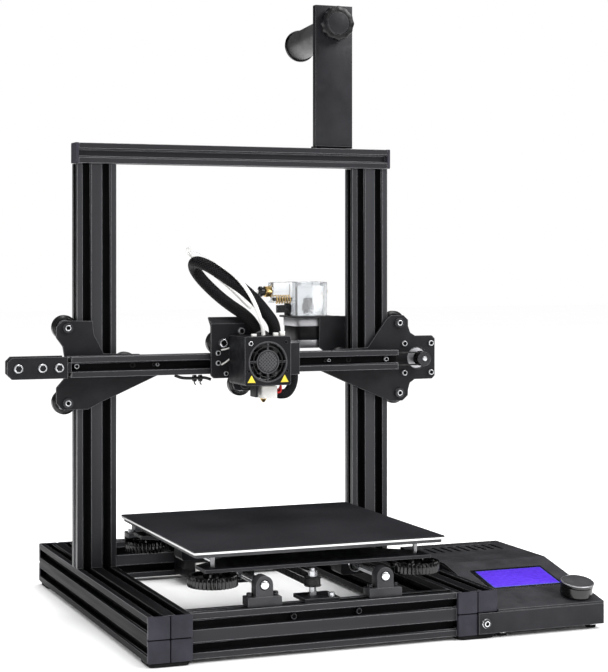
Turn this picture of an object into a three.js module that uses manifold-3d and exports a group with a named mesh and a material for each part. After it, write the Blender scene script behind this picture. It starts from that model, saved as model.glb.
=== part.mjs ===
// Desktop FDM 3-D printer: a frame of slotted aluminium profile, a bed that slides along Y on two
// rods, a gantry that climbs two uprights, a carriage with the hot end, and a control box at the side.
// Millimetres. +X is the machine's right, +Y its rear, +Z up; the floor is Z = 0.
import * as THREE from "three";
import { mergeVertices } from "three/addons/utils/BufferGeometryUtils.js";
import Module from "manifold-3d";

const wasm = await Module();
wasm.setup();

// ---------------------------------------------------------------- driving dimensions
const GAP = 0.3; // clearance left between pieces that touch
const CELL = 20; // module of the slotted profile
const BASE = { width: 336, length: 415, floor: 4, cap: 4 }; // outer size; underside on rubber feet
const RAIL = 2 * CELL; // side of the square base rails
const DECK = BASE.floor + RAIL; // top of the base frame
const UPRIGHT = { y0: 248, y1: 268, top: 446 };
const BAR = { y0: 245, y1: 265, z0: 446, z1: 466, cap: 4 };
const MID_X = BASE.width / 2;

const ROD = { x: [MID_X - 58.5, MID_X + 58.5], z: 63, r: 4, y0: 8, y1: 405 };
const BED = { x0: 46, x1: 290, y0: 15, y1: 253, top: 95, plate: 3, heater: 2.7 };
const CARRIER = { z0: 74.5, z1: 77.5, bearingY: [78, 205], bearing: 24 };
const POST = { x: [69, 267], y: [33, 235], r: 2.2 };
const LEVEL_KNOB = { r: 23, teeth: 24, z0: 61, z1: 74.1 };

const BEAM = { x0: -12, x1: 337, y0: 222, y1: 241.7, z0: 235.5, z1: 255.5 };
const BEAM_Z = (BEAM.z0 + BEAM.z1) / 2;
const PLATE_Y = [242, 245]; // front and back of the gantry plates
const WHEEL = { r: 12.2, half: 5.1, flat: 2.9, bore: 2.8, away: 11 }; // away: axle to profile face
const WHEEL_Y = (UPRIGHT.y0 + UPRIGHT.y1) / 2;
const BOLT_R = 2.5;
const GANTRY_WHEEL_Z = { upper: 283, lower: 209, inner: BEAM_Z };

const NEMA = { side: 42.3, corner: 4, boss: 11, shaft: 2.5, screws: 31 };
const BELT = { inner: 5.7, outer: 7.1, width: 5.6 };
const PULLEY = { groove: 5.4, flange: 7.9, bore: 2.8 };
const X_MOTOR = { x: 368.3, y0: 245.3, length: 40 };
const X_IDLER_X = -65;
const X_BELT_Y = (BEAM.y0 + BEAM.y1) / 2;

const CARRIAGE = { x0: 128.5, x1: 200, y0: 215, y1: 218, z0: 231.5, bend: 284.5, top: 292.5 };
const CARRIAGE_WHEELS = [
  ["carriage_wheel_left", 141, BEAM.z1 + WHEEL.away],
  ["carriage_wheel_right", 187, BEAM.z1 + WHEEL.away],
  ["carriage_wheel_lower", 164, BEAM.z0 - WHEEL.away],
];
const COVER = { x0: 146.5, x1: 194.5, y0: 165, y1: 212, z0: 226.8, z1: 275, wall: 1.5 };
const COVER_MOUTH = { x0: 166, x1: 181, y0: 182, y1: 197 }; // hole in the cover's top, over the hot end
const FAN = { x: (COVER.x0 + COVER.x1) / 2, z: 250, opening: 18.8, hub: 11.8, spoke: 0.9 };
const NOZZLE = { x: 174.5, y: 189, tip: 208.4 };

const Y_BELT = { x: 163.5, front: 30, rear: 367, z0: 56.2 };
const SCREW = { x: 316, y: 291, r: 4, z1: 446 };
const EXTRUDER = { x: 242, y: 272, z0: 256.5, deck: 288, top: 326 };
const EXTRUDER_AXIS = { x: EXTRUDER.x + NEMA.side / 2, y: EXTRUDER.y + NEMA.side / 2 };
const FITTING = { x: 206, y: 290, z: 316 };

const SPOOL = { x0: 255, x1: 296.6, y: 250, depth: 8, top: 616, knobZ: 596.5, armZ: 591, tilt: 4 };
const SPOOL_X = (SPOOL.x0 + SPOOL.x1) / 2;
const SPOOL_KNOB_R = 18;

const CASE = { x0: 336.4, x1: 448.8, y0: -2, y1: 216, z0: 5, z1: 50.4, front: 26.4, bend: 112, wall: 2 };
const SLOPE = Math.atan2(CASE.z1 - CASE.front, CASE.bend - CASE.y0);
const LCD = { x0: 352, x1: 431, y0: 42, y1: 89.5, depth: 5 };
const ENCODER = { x: 428, y: 15, r: 16, height: 13 };
const CASE_SCREW = { x: 323.3, z: 14.6, r: 4 };

// The frame's origin is under the middle of the whole machine, at floor level.
const ORIGIN = new THREE.Vector3(185.9, 205.1, 0);

// ---------------------------------------------------------------- solid-modelling helpers
function toSolid(geometry) {
  const bare = new THREE.BufferGeometry();
  bare.setAttribute("position", geometry.getAttribute("position"));
  bare.setIndex(geometry.index);
  const merged = mergeVertices(bare, 1e-4);
  return new wasm.Manifold(
    new wasm.Mesh({
      numProp: 3,
      vertProperties: merged.getAttribute("position").array,
      triVerts: Uint32Array.from(merged.index.array),
    }),
  );
}

function toGeometry(solid) {
  const { vertProperties, triVerts } = solid.getMesh();
  const geometry = new THREE.BufferGeometry();
  geometry.setAttribute("position", new THREE.BufferAttribute(vertProperties, 3));
  geometry.setIndex(Array.from(triVerts));
  return geometry;
}

const join = (...solids) => solids.reduce((all, next) => all.add(next));
const cut = (body, ...tools) => tools.reduce((left, tool) => left.subtract(tool), body);
const path2 = (points) => points.map(([a, b]) => new THREE.Vector2(a, b));

// Drawing planes: "x" draws in (Y, Z), "y" in (X, Z), "z" in (X, Y).
const PLANES = {
  x: [new THREE.Vector3(0, 1, 0), new THREE.Vector3(0, 0, 1), new THREE.Vector3(1, 0, 0)],
  y: [new THREE.Vector3(1, 0, 0), new THREE.Vector3(0, 0, 1), new THREE.Vector3(0, -1, 0)],
  z: [new THREE.Vector3(1, 0, 0), new THREE.Vector3(0, 1, 0), new THREE.Vector3(0, 0, 1)],
};

function prism(outline, axis, from, to, holes = []) {
  const shape = new THREE.Shape(path2(outline));
  shape.holes = holes.map((hole) => new THREE.Path(path2(hole)));
  const geometry = new THREE.ExtrudeGeometry(shape, { depth: to - from, bevelEnabled: false });
  const start = PLANES[axis][2].clone().multiplyScalar(axis === "y" ? -to : from);
  geometry.applyMatrix4(new THREE.Matrix4().makeBasis(...PLANES[axis]).setPosition(start));
  return toSolid(geometry);
}

function block(x0, x1, y0, y1, z0, z1) {
  const geometry = new THREE.BoxGeometry(x1 - x0, y1 - y0, z1 - z0);
  geometry.translate((x0 + x1) / 2, (y0 + y1) / 2, (z0 + z1) / 2);
  return toSolid(geometry);
}

function circle(a, b, r, sides = 16) {
  const turn = (2 * Math.PI) / sides;
  return Array.from({ length: sides }, (_, i) => [
    a + r * Math.cos((i + 0.5) * turn),
    b + r * Math.sin((i + 0.5) * turn),
  ]);
}

const disc = (axis, a, b, r, from, to, sides) => prism(circle(a, b, r, sides), axis, from, to);

function rectangle(a0, a1, b0, b1, corner = 0, steps = 3) {
  if (corner === 0) return [[a0, b0], [a1, b0], [a1, b1], [a0, b1]];
  const centres = [[a1 - corner, b1 - corner], [a0 + corner, b1 - corner],
    [a0 + corner, b0 + corner], [a1 - corner, b0 + corner]];
  return centres.flatMap(([a, b], quarter) =>
    Array.from({ length: steps + 1 }, (_, i) => {
      const angle = (quarter + i / steps) * (Math.PI / 2);
      return [a + corner * Math.cos(angle), b + corner * Math.sin(angle)];
    }));
}

// A ring turned about an axis parallel to Y (or Z), from a closed profile of [radius, along] points.
function turned(profile, axis, a, b, sides = 20) {
  const closed = [...profile, profile[0]];
  const geometry = new THREE.LatheGeometry(path2(closed), sides);
  if (axis === "z") geometry.rotateX(Math.PI / 2).translate(a, b, 0);
  else geometry.translate(a, 0, b);
  return toSolid(geometry);
}

// A round cord along a smooth curve through the given points.
function cord(points, radius, sides, steps) {
  const curve = new THREE.CatmullRomCurve3(points.map((p) => new THREE.Vector3(...p)));
  const section = new THREE.Shape(path2(circle(0, 0, radius, sides)));
  return toSolid(new THREE.ExtrudeGeometry(section, { steps, extrudePath: curve }));
}

// ---------------------------------------------------------------- materials and the scene graph
const MATERIALS = {
  profile: { color: 0x1c1c1f, roughness: 0.42, metalness: 0.7 },
  plate: { color: 0x232328, roughness: 0.5, metalness: 0.5 },
  cap: { color: 0x34343c, roughness: 0.6, metalness: 0 },
  plastic: { color: 0x161618, roughness: 0.55, metalness: 0 },
  greyPlastic: { color: 0x46464a, roughness: 0.55, metalness: 0 },
  steel: { color: 0xb9bbbe, roughness: 0.25, metalness: 1 },
  motor: { color: 0x2a2a2c, roughness: 0.4, metalness: 0.6 },
  belt: { color: 0x0c0c0c, roughness: 0.8, metalness: 0 },
  glass: { color: 0x1f1f22, roughness: 0.5, metalness: 0 },
  clear: { color: 0xdfe3e6, roughness: 0.15, metalness: 0 },
  screen: { color: 0x3a25c8, roughness: 0.3, metalness: 0 },
  cable: { color: 0x101010, roughness: 0.9, metalness: 0 },
  tube: { color: 0xf2f2f0, roughness: 0.35, metalness: 0 },
};

const machine = new THREE.Group();
const model = new THREE.Group();
model.position.copy(ORIGIN).negate();
machine.add(model);

function part(name, material, solid) {
  const mesh = new THREE.Mesh(toGeometry(solid), new THREE.MeshStandardMaterial(MATERIALS[material]));
  mesh.name = name;
  model.add(mesh);
}

// ---------------------------------------------------------------- slotted profile
// One slot, as [across, depth] from the middle of its mouth: a V mouth with a wider channel behind.
const SLOT = [
  [-4.6, 0], [-3.1, 1.6], [-5.2, 2], [-5.2, 4.2], [-2.8, 6.2],
  [2.8, 6.2], [5.2, 4.2], [5.2, 2], [3.1, 1.6], [4.6, 0],
];

function slottedOutline(a0, b0, columns, rows) {
  const a1 = a0 + columns * CELL;
  const b1 = b0 + rows * CELL;
  const sides = [
    { start: [a0, b0], run: [1, 0], inward: [0, 1], cells: columns },
    { start: [a1, b0], run: [0, 1], inward: [-1, 0], cells: rows },
    { start: [a1, b1], run: [-1, 0], inward: [0, -1], cells: columns },
    { start: [a0, b1], run: [0, -1], inward: [1, 0], cells: rows },
  ];
  return sides.flatMap(({ start, run, inward, cells }) => {
    const points = [start];
    for (let cell = 0; cell < cells; cell += 1) {
      const middle = (cell + 0.5) * CELL;
      for (const [across, depth] of SLOT) {
        const along = middle + across;
        points.push([0, 1].map((k) => start[k] + run[k] * along + inward[k] * depth));
      }
    }
    return points;
  });
}

const profile = (axis, a0, b0, columns, rows, from, to) =>
  prism(slottedOutline(a0, b0, columns, rows), axis, from, to);

// ---------------------------------------------------------------- base frame
const RIGHT_RAIL_X = BASE.width - RAIL;
const RAIL_ENDS = [BASE.cap + GAP, BASE.length - BASE.cap - GAP];
part("left_rail", "profile", profile("y", 0, BASE.floor, 2, 2, ...RAIL_ENDS));
part("right_rail", "profile", profile("y", RIGHT_RAIL_X, BASE.floor, 2, 2, ...RAIL_ENDS));

const BEAM_SPAN = [RAIL + GAP, RIGHT_RAIL_X - GAP];
const REAR_BEAM_Y = BASE.length - BASE.cap - CELL;
part("rear_crossbeam", "profile", profile("x", REAR_BEAM_Y, BASE.floor, 1, 2, ...BEAM_SPAN));

// The front crossbeam carries the bracket, spacer, bolt and nut of the bed belt's idler.
function frontCrossbeam() {
  const plateTop = DECK + 3;
  const bracket = prism(rectangle(149, 183, 11, 43, 2), "z", DECK - 0.1, plateTop);
  const spacer = disc("z", Y_BELT.x, Y_BELT.front, 3.4, plateTop - 0.1, Y_BELT.z0 - 1.7, 6);
  const bolt = disc("z", Y_BELT.x, Y_BELT.front, BOLT_R, plateTop - 0.1, Y_BELT.z0 + 15, 12);
  const nut = disc("z", Y_BELT.x, Y_BELT.front, 4.2, Y_BELT.z0 + 7.6, Y_BELT.z0 + 12.5, 6);
  const capScrew = disc("z", 177, 18, 3, plateTop - 0.1, plateTop + 3.4, 12);
  return join(profile("x", BASE.cap, BASE.floor, 1, 2, ...BEAM_SPAN), bracket, spacer, bolt, nut, capScrew);
}
part("front_crossbeam", "profile", frontCrossbeam());

// A moulded end cap quartered by a cross groove, with the rubber foot under the rail's end.
function corner(x0, front) {
  const y = (fromEnd) => (front ? fromEnd : BASE.length - fromEnd);
  const along = (a, b) => [Math.min(y(a), y(b)), Math.max(y(a), y(b))];
  const [middleX, middleZ] = [x0 + RAIL / 2, BASE.floor + RAIL / 2];
  const cap = prism(rectangle(x0, x0 + RAIL, BASE.floor, DECK, 1.5, 2), "y", ...along(0, BASE.cap));
  const grooves = [
    block(middleX - 0.7, middleX + 0.7, ...along(-1, 1.2), 0, DECK + 1),
    block(x0 - 1, x0 + RAIL + 1, ...along(-1, 1.2), middleZ - 0.7, middleZ + 0.7),
  ];
  const foot = prism(rectangle(x0 + 2, x0 + RAIL - 2, ...along(1.3, 34), 4), "z", 0, BASE.floor - GAP);
  const web = block(x0 + 6, x0 + RAIL - 6, ...along(1.5, BASE.cap), 1, BASE.floor + 3);
  return join(cut(cap, ...grooves), foot, web);
}
part("corner_front_left", "cap", corner(0, true));
part("corner_front_right", "cap", corner(RIGHT_RAIL_X, true));
part("corner_rear_left", "cap", corner(0, false));
part("corner_rear_right", "cap", corner(RIGHT_RAIL_X, false));

// ---------------------------------------------------------------- uprights, top bar, spool holder
const upright = (x0) => profile("z", x0, UPRIGHT.y0, 2, 1, DECK + GAP, UPRIGHT.top - GAP);
part("left_upright", "profile", upright(0));
part("right_upright", "profile", upright(RIGHT_RAIL_X));

function topBar() {
  const bar = profile("x", BAR.y0, BAR.z0, 1, 1, 0, BASE.width);
  const capOutline = rectangle(BAR.y0 - 0.5, BAR.y1 + 0.5, BAR.z0, BAR.z1 + 0.3, 1.5, 2);
  const cap = (from, to) => prism(capOutline, "x", from, to);
  return join(bar, cap(-1.8, 1.2), cap(BASE.width - 1.2, BASE.width + 1.8));
}
part("top_bar", "profile", topBar());

// A folded plate that stands on the top bar, and the plain tube that a filament spool hangs on.
function spoolHolder() {
  const foot = BAR.z1 + 2 * GAP;
  const back = SPOOL.y + SPOOL.depth;
  const outer = block(SPOOL.x0, SPOOL.x1, SPOOL.y, back, foot, SPOOL.top);
  const inner = block(SPOOL.x0 + 2, SPOOL.x1 - 2, SPOOL.y + 2, back + 1, foot + 2, SPOOL.top + 1);
  const boltHole = disc("y", SPOOL_X, SPOOL.knobZ, 3.2, SPOOL.y - 1, SPOOL.y + 3, 12);
  const arm = turned([[9, 0], [15.5, 0], [15.5, 93], [17.5, 94], [17.5, 98], [9, 98]], "y", 0, 0, 24);
  const tilted = arm.rotate([-SPOOL.tilt, 0, 0]).translate([SPOOL_X, SPOOL.y + 1.8, SPOOL.armZ]);
  return join(cut(outer, inner, boltHole), tilted.subtract(block(0, 400, 200, SPOOL.y + 0.5, 500, 700)));
}
part("spool_holder", "plastic", spoolHolder());

// The lobed knob that clamps the tube; its bolt passes through the plate.
function spoolKnob() {
  const lobes = 5;
  const outline = Array.from({ length: lobes * 8 }, (_, i) => {
    const angle = (i / (lobes * 8)) * 2 * Math.PI;
    const r = SPOOL_KNOB_R - 1.1 * (1 - Math.cos(lobes * (angle + Math.PI / 10)));
    return [SPOOL_X + r * Math.cos(angle), SPOOL.knobZ + r * Math.sin(angle)];
  });
  const head = prism(outline, "y", SPOOL.y - 13, SPOOL.y - 5);
  const collar = disc("y", SPOOL_X, SPOOL.knobZ, 13, SPOOL.y - 5.1, SPOOL.y - GAP, 20);
  const bolt = disc("y", SPOOL_X, SPOOL.knobZ, 2.8, SPOOL.y - 1, SPOOL.y + 2, 10);
  return join(head, collar, bolt);
}
part("spool_knob", "plastic", spoolKnob());

// ---------------------------------------------------------------- bed guide rods and belt drive
function clampBlock(x, y0, y1) {
  const base = block(x - 16, x + 16, y0, y1, DECK + GAP, DECK + 8.5);
  const head = join(block(x - 8, x + 8, y0, y1, DECK + 8, ROD.z), disc("y", x, ROD.z, 8, y0, y1, 20));
  const screw = (dx) => disc("z", x + dx, (y0 + y1) / 2, 3, DECK + 8, DECK + 12, 10);
  return join(base, head, screw(-12), screw(12));
}

function guideRod(x) {
  const rod = disc("y", x, ROD.z, ROD.r, ROD.y0 - 0.6, ROD.y1 - 14, 16);
  return join(rod, clampBlock(x, ROD.y0, ROD.y0 + 15));
}
part("guide_rod_left", "steel", guideRod(ROD.x[0]));
part("guide_rod_right", "steel", guideRod(ROD.x[1]));

// A square stepper motor: along is its shaft's direction, and face its mounting face.
function stepper(axis, a, b, from, to) {
  const half = NEMA.side / 2;
  const outline = rectangle(a - half, a + half, b - half, b + half, NEMA.corner, 1);
  return prism(outline, axis, from, to);
}

// Rear bracket: both rods' rear clamps and the bed motor, which hangs under it with its shaft up.
function bedMotor() {
  const clampY = [ROD.y1 - 13, ROD.y1];
  const strip = block(ROD.x[0] - 16, ROD.x[1] + 16, 392, 410, DECK + GAP, DECK + 3);
  const shelfOutline = rectangle(Y_BELT.x - 22, Y_BELT.x + 22, Y_BELT.rear - 22, 396, 3);
  const shelf = prism(shelfOutline, "z", DECK + GAP, DECK + 3);
  const motor = stepper("z", Y_BELT.x, Y_BELT.rear, 9, DECK + 1);
  const shaft = disc("z", Y_BELT.x, Y_BELT.rear, NEMA.shaft, DECK + 2, Y_BELT.z0 + 9, 10);
  const pulley = [
    disc("z", Y_BELT.x, Y_BELT.rear, PULLEY.groove, DECK + 5, Y_BELT.z0 + 7, 20),
    disc("z", Y_BELT.x, Y_BELT.rear, PULLEY.flange, DECK + 5, Y_BELT.z0 - GAP, 20),
    disc("z", Y_BELT.x, Y_BELT.rear, PULLEY.flange, Y_BELT.z0 + BELT.width + GAP, Y_BELT.z0 + 7.2, 20),
  ];
  const bore = (x) => disc("y", x, ROD.z, ROD.r + GAP, 380, 393);
  const clamps = ROD.x.map((x) => clampBlock(x, ...clampY).subtract(bore(x)));
  return join(strip, shelf, motor, shaft, ...pulley, ...clamps);
}
part("bed_motor", "motor", bedMotor());

// An idler or pulley with two flanges, its groove starting at "from" on a Y or Z axis.
function flangedPulley(axis, a, b, from, hub = 0) {
  const [g0, g1] = [from - GAP, from + BELT.width + GAP];
  const rim = 1;
  return turned([
    [PULLEY.bore, g0 - rim - hub], [PULLEY.flange, g0 - rim - hub], [PULLEY.flange, g0],
    [PULLEY.groove, g0], [PULLEY.groove, g1], [PULLEY.flange, g1],
    [PULLEY.flange, g1 + rim], [PULLEY.bore, g1 + rim],
  ], axis, a, b, 16);
}
part("bed_belt_idler", "plastic", flangedPulley("z", Y_BELT.x, Y_BELT.front, Y_BELT.z0));

// A closed belt loop: straight runs between two half turns of radius r.
function stadium(a, b0, b1, r, swap) {
  const steps = 8;
  const arc = (centre, start) => Array.from({ length: steps + 1 }, (_, i) => {
    const angle = start + (i / steps) * Math.PI;
    return [a + r * Math.cos(angle), centre + r * Math.sin(angle)];
  });
  const points = [...arc(b1, 0), ...arc(b0, Math.PI)];
  return swap ? points.map(([p, q]) => [q, p]).reverse() : points;
}

const yLoop = (r) => stadium(Y_BELT.x, Y_BELT.front, Y_BELT.rear, r, false);
part("bed_belt", "belt", prism(yLoop(BELT.outer), "z", Y_BELT.z0, Y_BELT.z0 + BELT.width, [yLoop(BELT.inner)]));

// ---------------------------------------------------------------- bed
// H-shaped carrier plate with four bearing housings and the belt clamp under it.
function bedCarrier() {
  const [x0, x1, y0, y1] = [58, 278, 21, 247];
  const [webX0, webX1, arm] = [92, 244, 27];
  const outline = [
    [x0, y0], [x1, y0], [x1, y0 + arm], [webX1, y0 + 2 * arm], [webX1, y1 - 2 * arm], [x1, y1 - arm],
    [x1, y1], [x0, y1], [x0, y1 - arm], [webX0, y1 - 2 * arm], [webX0, y0 + 2 * arm], [x0, y0 + arm],
  ];
  const holes = POST.x.flatMap((x) => POST.y.map((y) => circle(x, y, POST.r + GAP, 8)));
  const plate = prism(outline, "z", CARRIER.z0, CARRIER.z1, holes);
  const housings = ROD.x.flatMap((x) => CARRIER.bearingY.map((y) => {
    const end = y + CARRIER.bearing;
    const shell = prism(rectangle(x - 15, x + 15, 53, CARRIER.z0 + 0.1, 2, 1), "y", y, end);
    return shell.subtract(disc("y", x, ROD.z, ROD.r + 2 * GAP, y - 1, end + 1, 12));
  }));
  const clampX = Y_BELT.x - BELT.inner + GAP;
  const clamp = block(clampX, clampX + 4.5, 150, 168, 55, CARRIER.z0 + 0.1);
  return join(plate, ...housings, clamp);
}
part("bed_carrier", "plate", bedCarrier());

function heatedBed() {
  const top = BED.top - BED.plate - GAP;
  const slab = prism(rectangle(BED.x0 + 2, BED.x1 - 2, BED.y0 + 2, BED.y1 - 2, 3), "z", top - BED.heater, top);
  const post = (x, y) => disc("z", x, y, POST.r, LEVEL_KNOB.z0 - 2, top - 1, 10);
  const posts = POST.x.flatMap((x) => POST.y.map((y) => post(x, y)));
  return join(slab, ...posts);
}
part("heated_bed", "motor", heatedBed());
part("print_plate", "glass",
  prism(rectangle(BED.x0, BED.x1, BED.y0, BED.y1, 2, 2), "z", BED.top - BED.plate, BED.top));

// Toothed thumb wheel threaded on a bed post.
function levelKnob(x, y) {
  const { r, teeth, z0, z1 } = LEVEL_KNOB;
  const outline = Array.from({ length: 2 * teeth }, (_, i) => {
    const angle = (i / teeth) * Math.PI;
    const reach = i % 2 ? r - 1.6 : r;
    return [x + reach * Math.cos(angle), y + reach * Math.sin(angle)];
  });
  const bore = circle(x, y, POST.r + GAP, 8);
  const wheel = prism(outline, "z", z0, z1 - 3, [bore]);
  return join(wheel, prism(circle(x, y, 7, 10), "z", z1 - 3.1, z1, [bore]));
}
const SIDES = ["left", "right"];
const ENDS = ["front", "rear"];
POST.x.forEach((x, side) => POST.y.forEach((y, end) =>
  part(`level_knob_${ENDS[end]}_${SIDES[side]}`, "plastic", levelKnob(x, y))));

// ---------------------------------------------------------------- gantry
part("x_beam", "profile",
  prism(
    slottedOutline(BEAM.y0, BEAM.z0, 1, 1).map(([y, z]) => [Math.min(y, BEAM.y1), z]),
    "x", BEAM.x0, BEAM.x1));

const WHEEL_RING = [
  [WHEEL.bore, -WHEEL.half], [WHEEL.r - 2.2, -WHEEL.half], [WHEEL.r, -WHEEL.flat],
  [WHEEL.r, WHEEL.flat], [WHEEL.r - 2.2, WHEEL.half], [WHEEL.bore, WHEEL.half],
];
const vWheel = (x, y, z) => turned(WHEEL_RING.map(([r, along]) => [r, y + along]), "y", x, z, 18);

// The bolt a V wheel turns on: head before the plate, spacer behind it, and a nut past the wheel.
function wheelBolt(x, z, plateFront, plateBack, wheelY, end) {
  const near = wheelY - WHEEL.half - GAP;
  const far = wheelY + WHEEL.half + GAP;
  return join(
    disc("y", x, z, 4.4, plateFront - 2.6, plateFront + 0.1, 12),
    disc("y", x, z, 4.4, plateBack - 0.1, near, 12),
    disc("y", x, z, BOLT_R, plateFront, end, 10),
    disc("y", x, z, 4.2, far, end, 6),
  );
}

const gantryBolt = (x, z, end) => wheelBolt(x, z, PLATE_Y[0], PLATE_Y[1], WHEEL_Y, end);
const LEFT_X = { outer: -WHEEL.away, inner: RAIL + WHEEL.away };
const RIGHT_X = { outer: BASE.width + WHEEL.away, inner: RIGHT_RAIL_X - WHEEL.away };

// Left plate: round-shouldered behind the outer wheels, with a long gusset under the beam.
function leftPlate() {
  const outline = [
    [-5, 290], [-16, 290], [-22.2, 284], [-22.2, 273.5], [-15.7, 264.5], [-14.2, 255.5], [-14.2, 233.4],
    [-22.2, 224.3], [-22.2, 209], [-16, 202.5], [9.5, 202.4], [24.4, 210], [39.5, 216], [84, 235.5],
    [84, 240], [62, 256], [25.5, 257], [15.5, 276], [14, 289.5],
  ].reverse();
  const plate = prism(outline, "y", ...PLATE_Y);
  const end = WHEEL_Y + WHEEL.half + 4.5;
  return join(
    plate,
    gantryBolt(LEFT_X.outer, GANTRY_WHEEL_Z.upper, end),
    gantryBolt(LEFT_X.outer, GANTRY_WHEEL_Z.lower, end),
    gantryBolt(LEFT_X.inner, GANTRY_WHEEL_Z.inner, end).subtract(block(0, 90, 230, PLATE_Y[0], 200, 300)),
  );
}
part("gantry_plate_left", "plate", leftPlate());

// Right plate: the same behind its wheels, widened to carry the X motor.
function rightPlate() {
  const outline = [
    [332.3, 286.6], [338, 291], [352, 291], [357.5, 286], [357.5, 279.4], [360, 272.5], [365.7, 269],
    [385.5, 269], [388.8, 265.7], [388.8, 226.3], [385.5, 223], [365, 222.8], [359.5, 219], [357.5, 212],
    [357.3, 206], [351, 200.5], [336, 200.6], [283.8, 222.7], [255, 235.5], [255, 240], [276, 256],
    [311, 257.5],
  ].reverse();
  const half = NEMA.screws / 2;
  const screws = [-half, half].flatMap((dx) => [-half, half].map((dz) =>
    disc("y", X_MOTOR.x + dx, BEAM_Z + dz, 2.8, PLATE_Y[0] - 1.8, PLATE_Y[0] + 0.1, 10)));
  const end = 268.3;
  return join(
    prism(outline, "y", ...PLATE_Y, [circle(X_MOTOR.x, BEAM_Z, NEMA.boss + 0.6, 24)]),
    ...screws,
    gantryBolt(RIGHT_X.outer, GANTRY_WHEEL_Z.upper, end),
    gantryBolt(RIGHT_X.outer, GANTRY_WHEEL_Z.lower, end),
    gantryBolt(RIGHT_X.inner, GANTRY_WHEEL_Z.inner, end).subtract(block(270, 300, 230, PLATE_Y[0], 200, 300)),
  );
}
part("gantry_plate_right", "plate", rightPlate());

[["left", LEFT_X], ["right", RIGHT_X]].forEach(([side, x]) => {
  part(`gantry_wheel_${side}_upper`, "plastic", vWheel(x.outer, WHEEL_Y, GANTRY_WHEEL_Z.upper));
  part(`gantry_wheel_${side}_lower`, "plastic", vWheel(x.outer, WHEEL_Y, GANTRY_WHEEL_Z.lower));
  part(`gantry_wheel_${side}_inner`, "plastic", vWheel(x.inner, WHEEL_Y, GANTRY_WHEEL_Z.inner));
});

// Belt tensioner: two cheeks and a tongue between the belt's runs, with the idler's axle.
function tensioner() {
  const [x1, z0, z1] = [-16.5, 235, 256];
  const cheek = (x0, corner) => [
    [x0 + corner, z0], [x1, z0], [x1, z1], [x0 + corner, z1], [x0, z1 - corner], [x0, z0 + corner],
  ];
  const screw = (x) => disc("y", x, BEAM_Z, 4.2, 216.9, 219.6, 12);
  return join(
    prism(cheek(-75.5, 4.5), "y", 219, 222),
    prism(cheek(-72.5, 4.5), "y", 241.8, 244.8),
    block(-30, BEAM.x0 - GAP, 221, 241.6, BEAM_Z - 4.8, BEAM_Z + 4.8),
    block(-30, -17, 241, 242.5, BEAM_Z - 4.8, BEAM_Z + 4.8),
    disc("y", X_IDLER_X, BEAM_Z, BOLT_R, 219, 244, 10),
    ...[X_IDLER_X, -41.5, -25].map(screw),
  );
}
part("belt_tensioner", "plate", tensioner());

const beltFront = X_BELT_Y - BELT.width / 2;
part("x_idler", "plastic", flangedPulley("y", X_IDLER_X, BEAM_Z, beltFront));
part("x_pulley", "steel", flangedPulley("y", X_MOTOR.x, BEAM_Z, beltFront, 3.4));
const xLoop = (r) => stadium(BEAM_Z, X_IDLER_X, X_MOTOR.x, r, true);
part("x_belt", "belt", prism(xLoop(BELT.outer), "y", beltFront, beltFront + BELT.width, [xLoop(BELT.inner)]));

function xMotor() {
  const back = X_MOTOR.y0 + X_MOTOR.length;
  return join(
    stepper("y", X_MOTOR.x, BEAM_Z, X_MOTOR.y0, back),
    disc("y", X_MOTOR.x, BEAM_Z, NEMA.boss, X_MOTOR.y0 - 2, X_MOTOR.y0 + 0.1, 24),
    disc("y", X_MOTOR.x, BEAM_Z, NEMA.shaft, 222.4, X_MOTOR.y0, 10),
    block(X_MOTOR.x - 8, X_MOTOR.x + 8, back - 12, back - 2, BEAM_Z - 26, BEAM_Z - 21),
  );
}
part("x_motor", "motor", xMotor());

// ---------------------------------------------------------------- Z drive and extruder
// The rear bracket joins the right plate's wheel bolts to the lead-screw nut and the extruder's shelf.
function extruderMount() {
  const [y0, y1] = [268.6, 271.6];
  const outline = [
    [267, 257], [276, 250], [276, 238], [294, 234], [337, 201], [357, 201], [357, 223.5], [346.5, 223.5],
    [346.5, 267.5], [357, 267.5], [357, 290], [267, 290],
  ];
  const panel = prism(outline, "y", y0, y1);
  const nutShelf = prism(rectangle(300, 332, y1 - 0.1, 307, 3), "z", 268, 271.5);
  const nut = disc("z", SCREW.x, SCREW.y, 9, 257, 268.1, 16);
  const bore = disc("z", SCREW.x, SCREW.y, SCREW.r + 0.4, 250, 275, 16);
  const bridge = block(267, 290, y0, y1, 286, EXTRUDER.deck + 2.3);
  const half = NEMA.side / 2;
  const shelf = prism(
    rectangle(EXTRUDER_AXIS.x - half - 4, EXTRUDER_AXIS.x + half, y0, EXTRUDER_AXIS.y + half, 3),
    "z", EXTRUDER.deck + GAP, EXTRUDER.deck + 2.3,
    [circle(EXTRUDER_AXIS.x, EXTRUDER_AXIS.y, NEMA.boss + 0.5, 20)]);
  return cut(join(panel, nutShelf, nut, bridge, shelf), bore);
}
part("extruder_mount", "plate", extruderMount());

function extruderMotor() {
  const { x, y } = EXTRUDER_AXIS;
  return join(
    stepper("z", x, y, EXTRUDER.z0, EXTRUDER.deck),
    disc("z", x, y, NEMA.boss, EXTRUDER.deck - 0.1, EXTRUDER.deck + 2, 20),
    disc("z", x, y, NEMA.shaft, EXTRUDER.deck, 314, 10),
  );
}
part("extruder_motor", "motor", extruderMotor());

const GEAR_BORE = NEMA.shaft + GAP;
part("drive_gear", "steel", turned([
  [GEAR_BORE, 296], [5, 296], [5, 299], [6.2, 299], [6.2, 306], [5, 306], [5, 311], [GEAR_BORE, 311],
], "z", EXTRUDER_AXIS.x, EXTRUDER_AXIS.y, 16));

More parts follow.
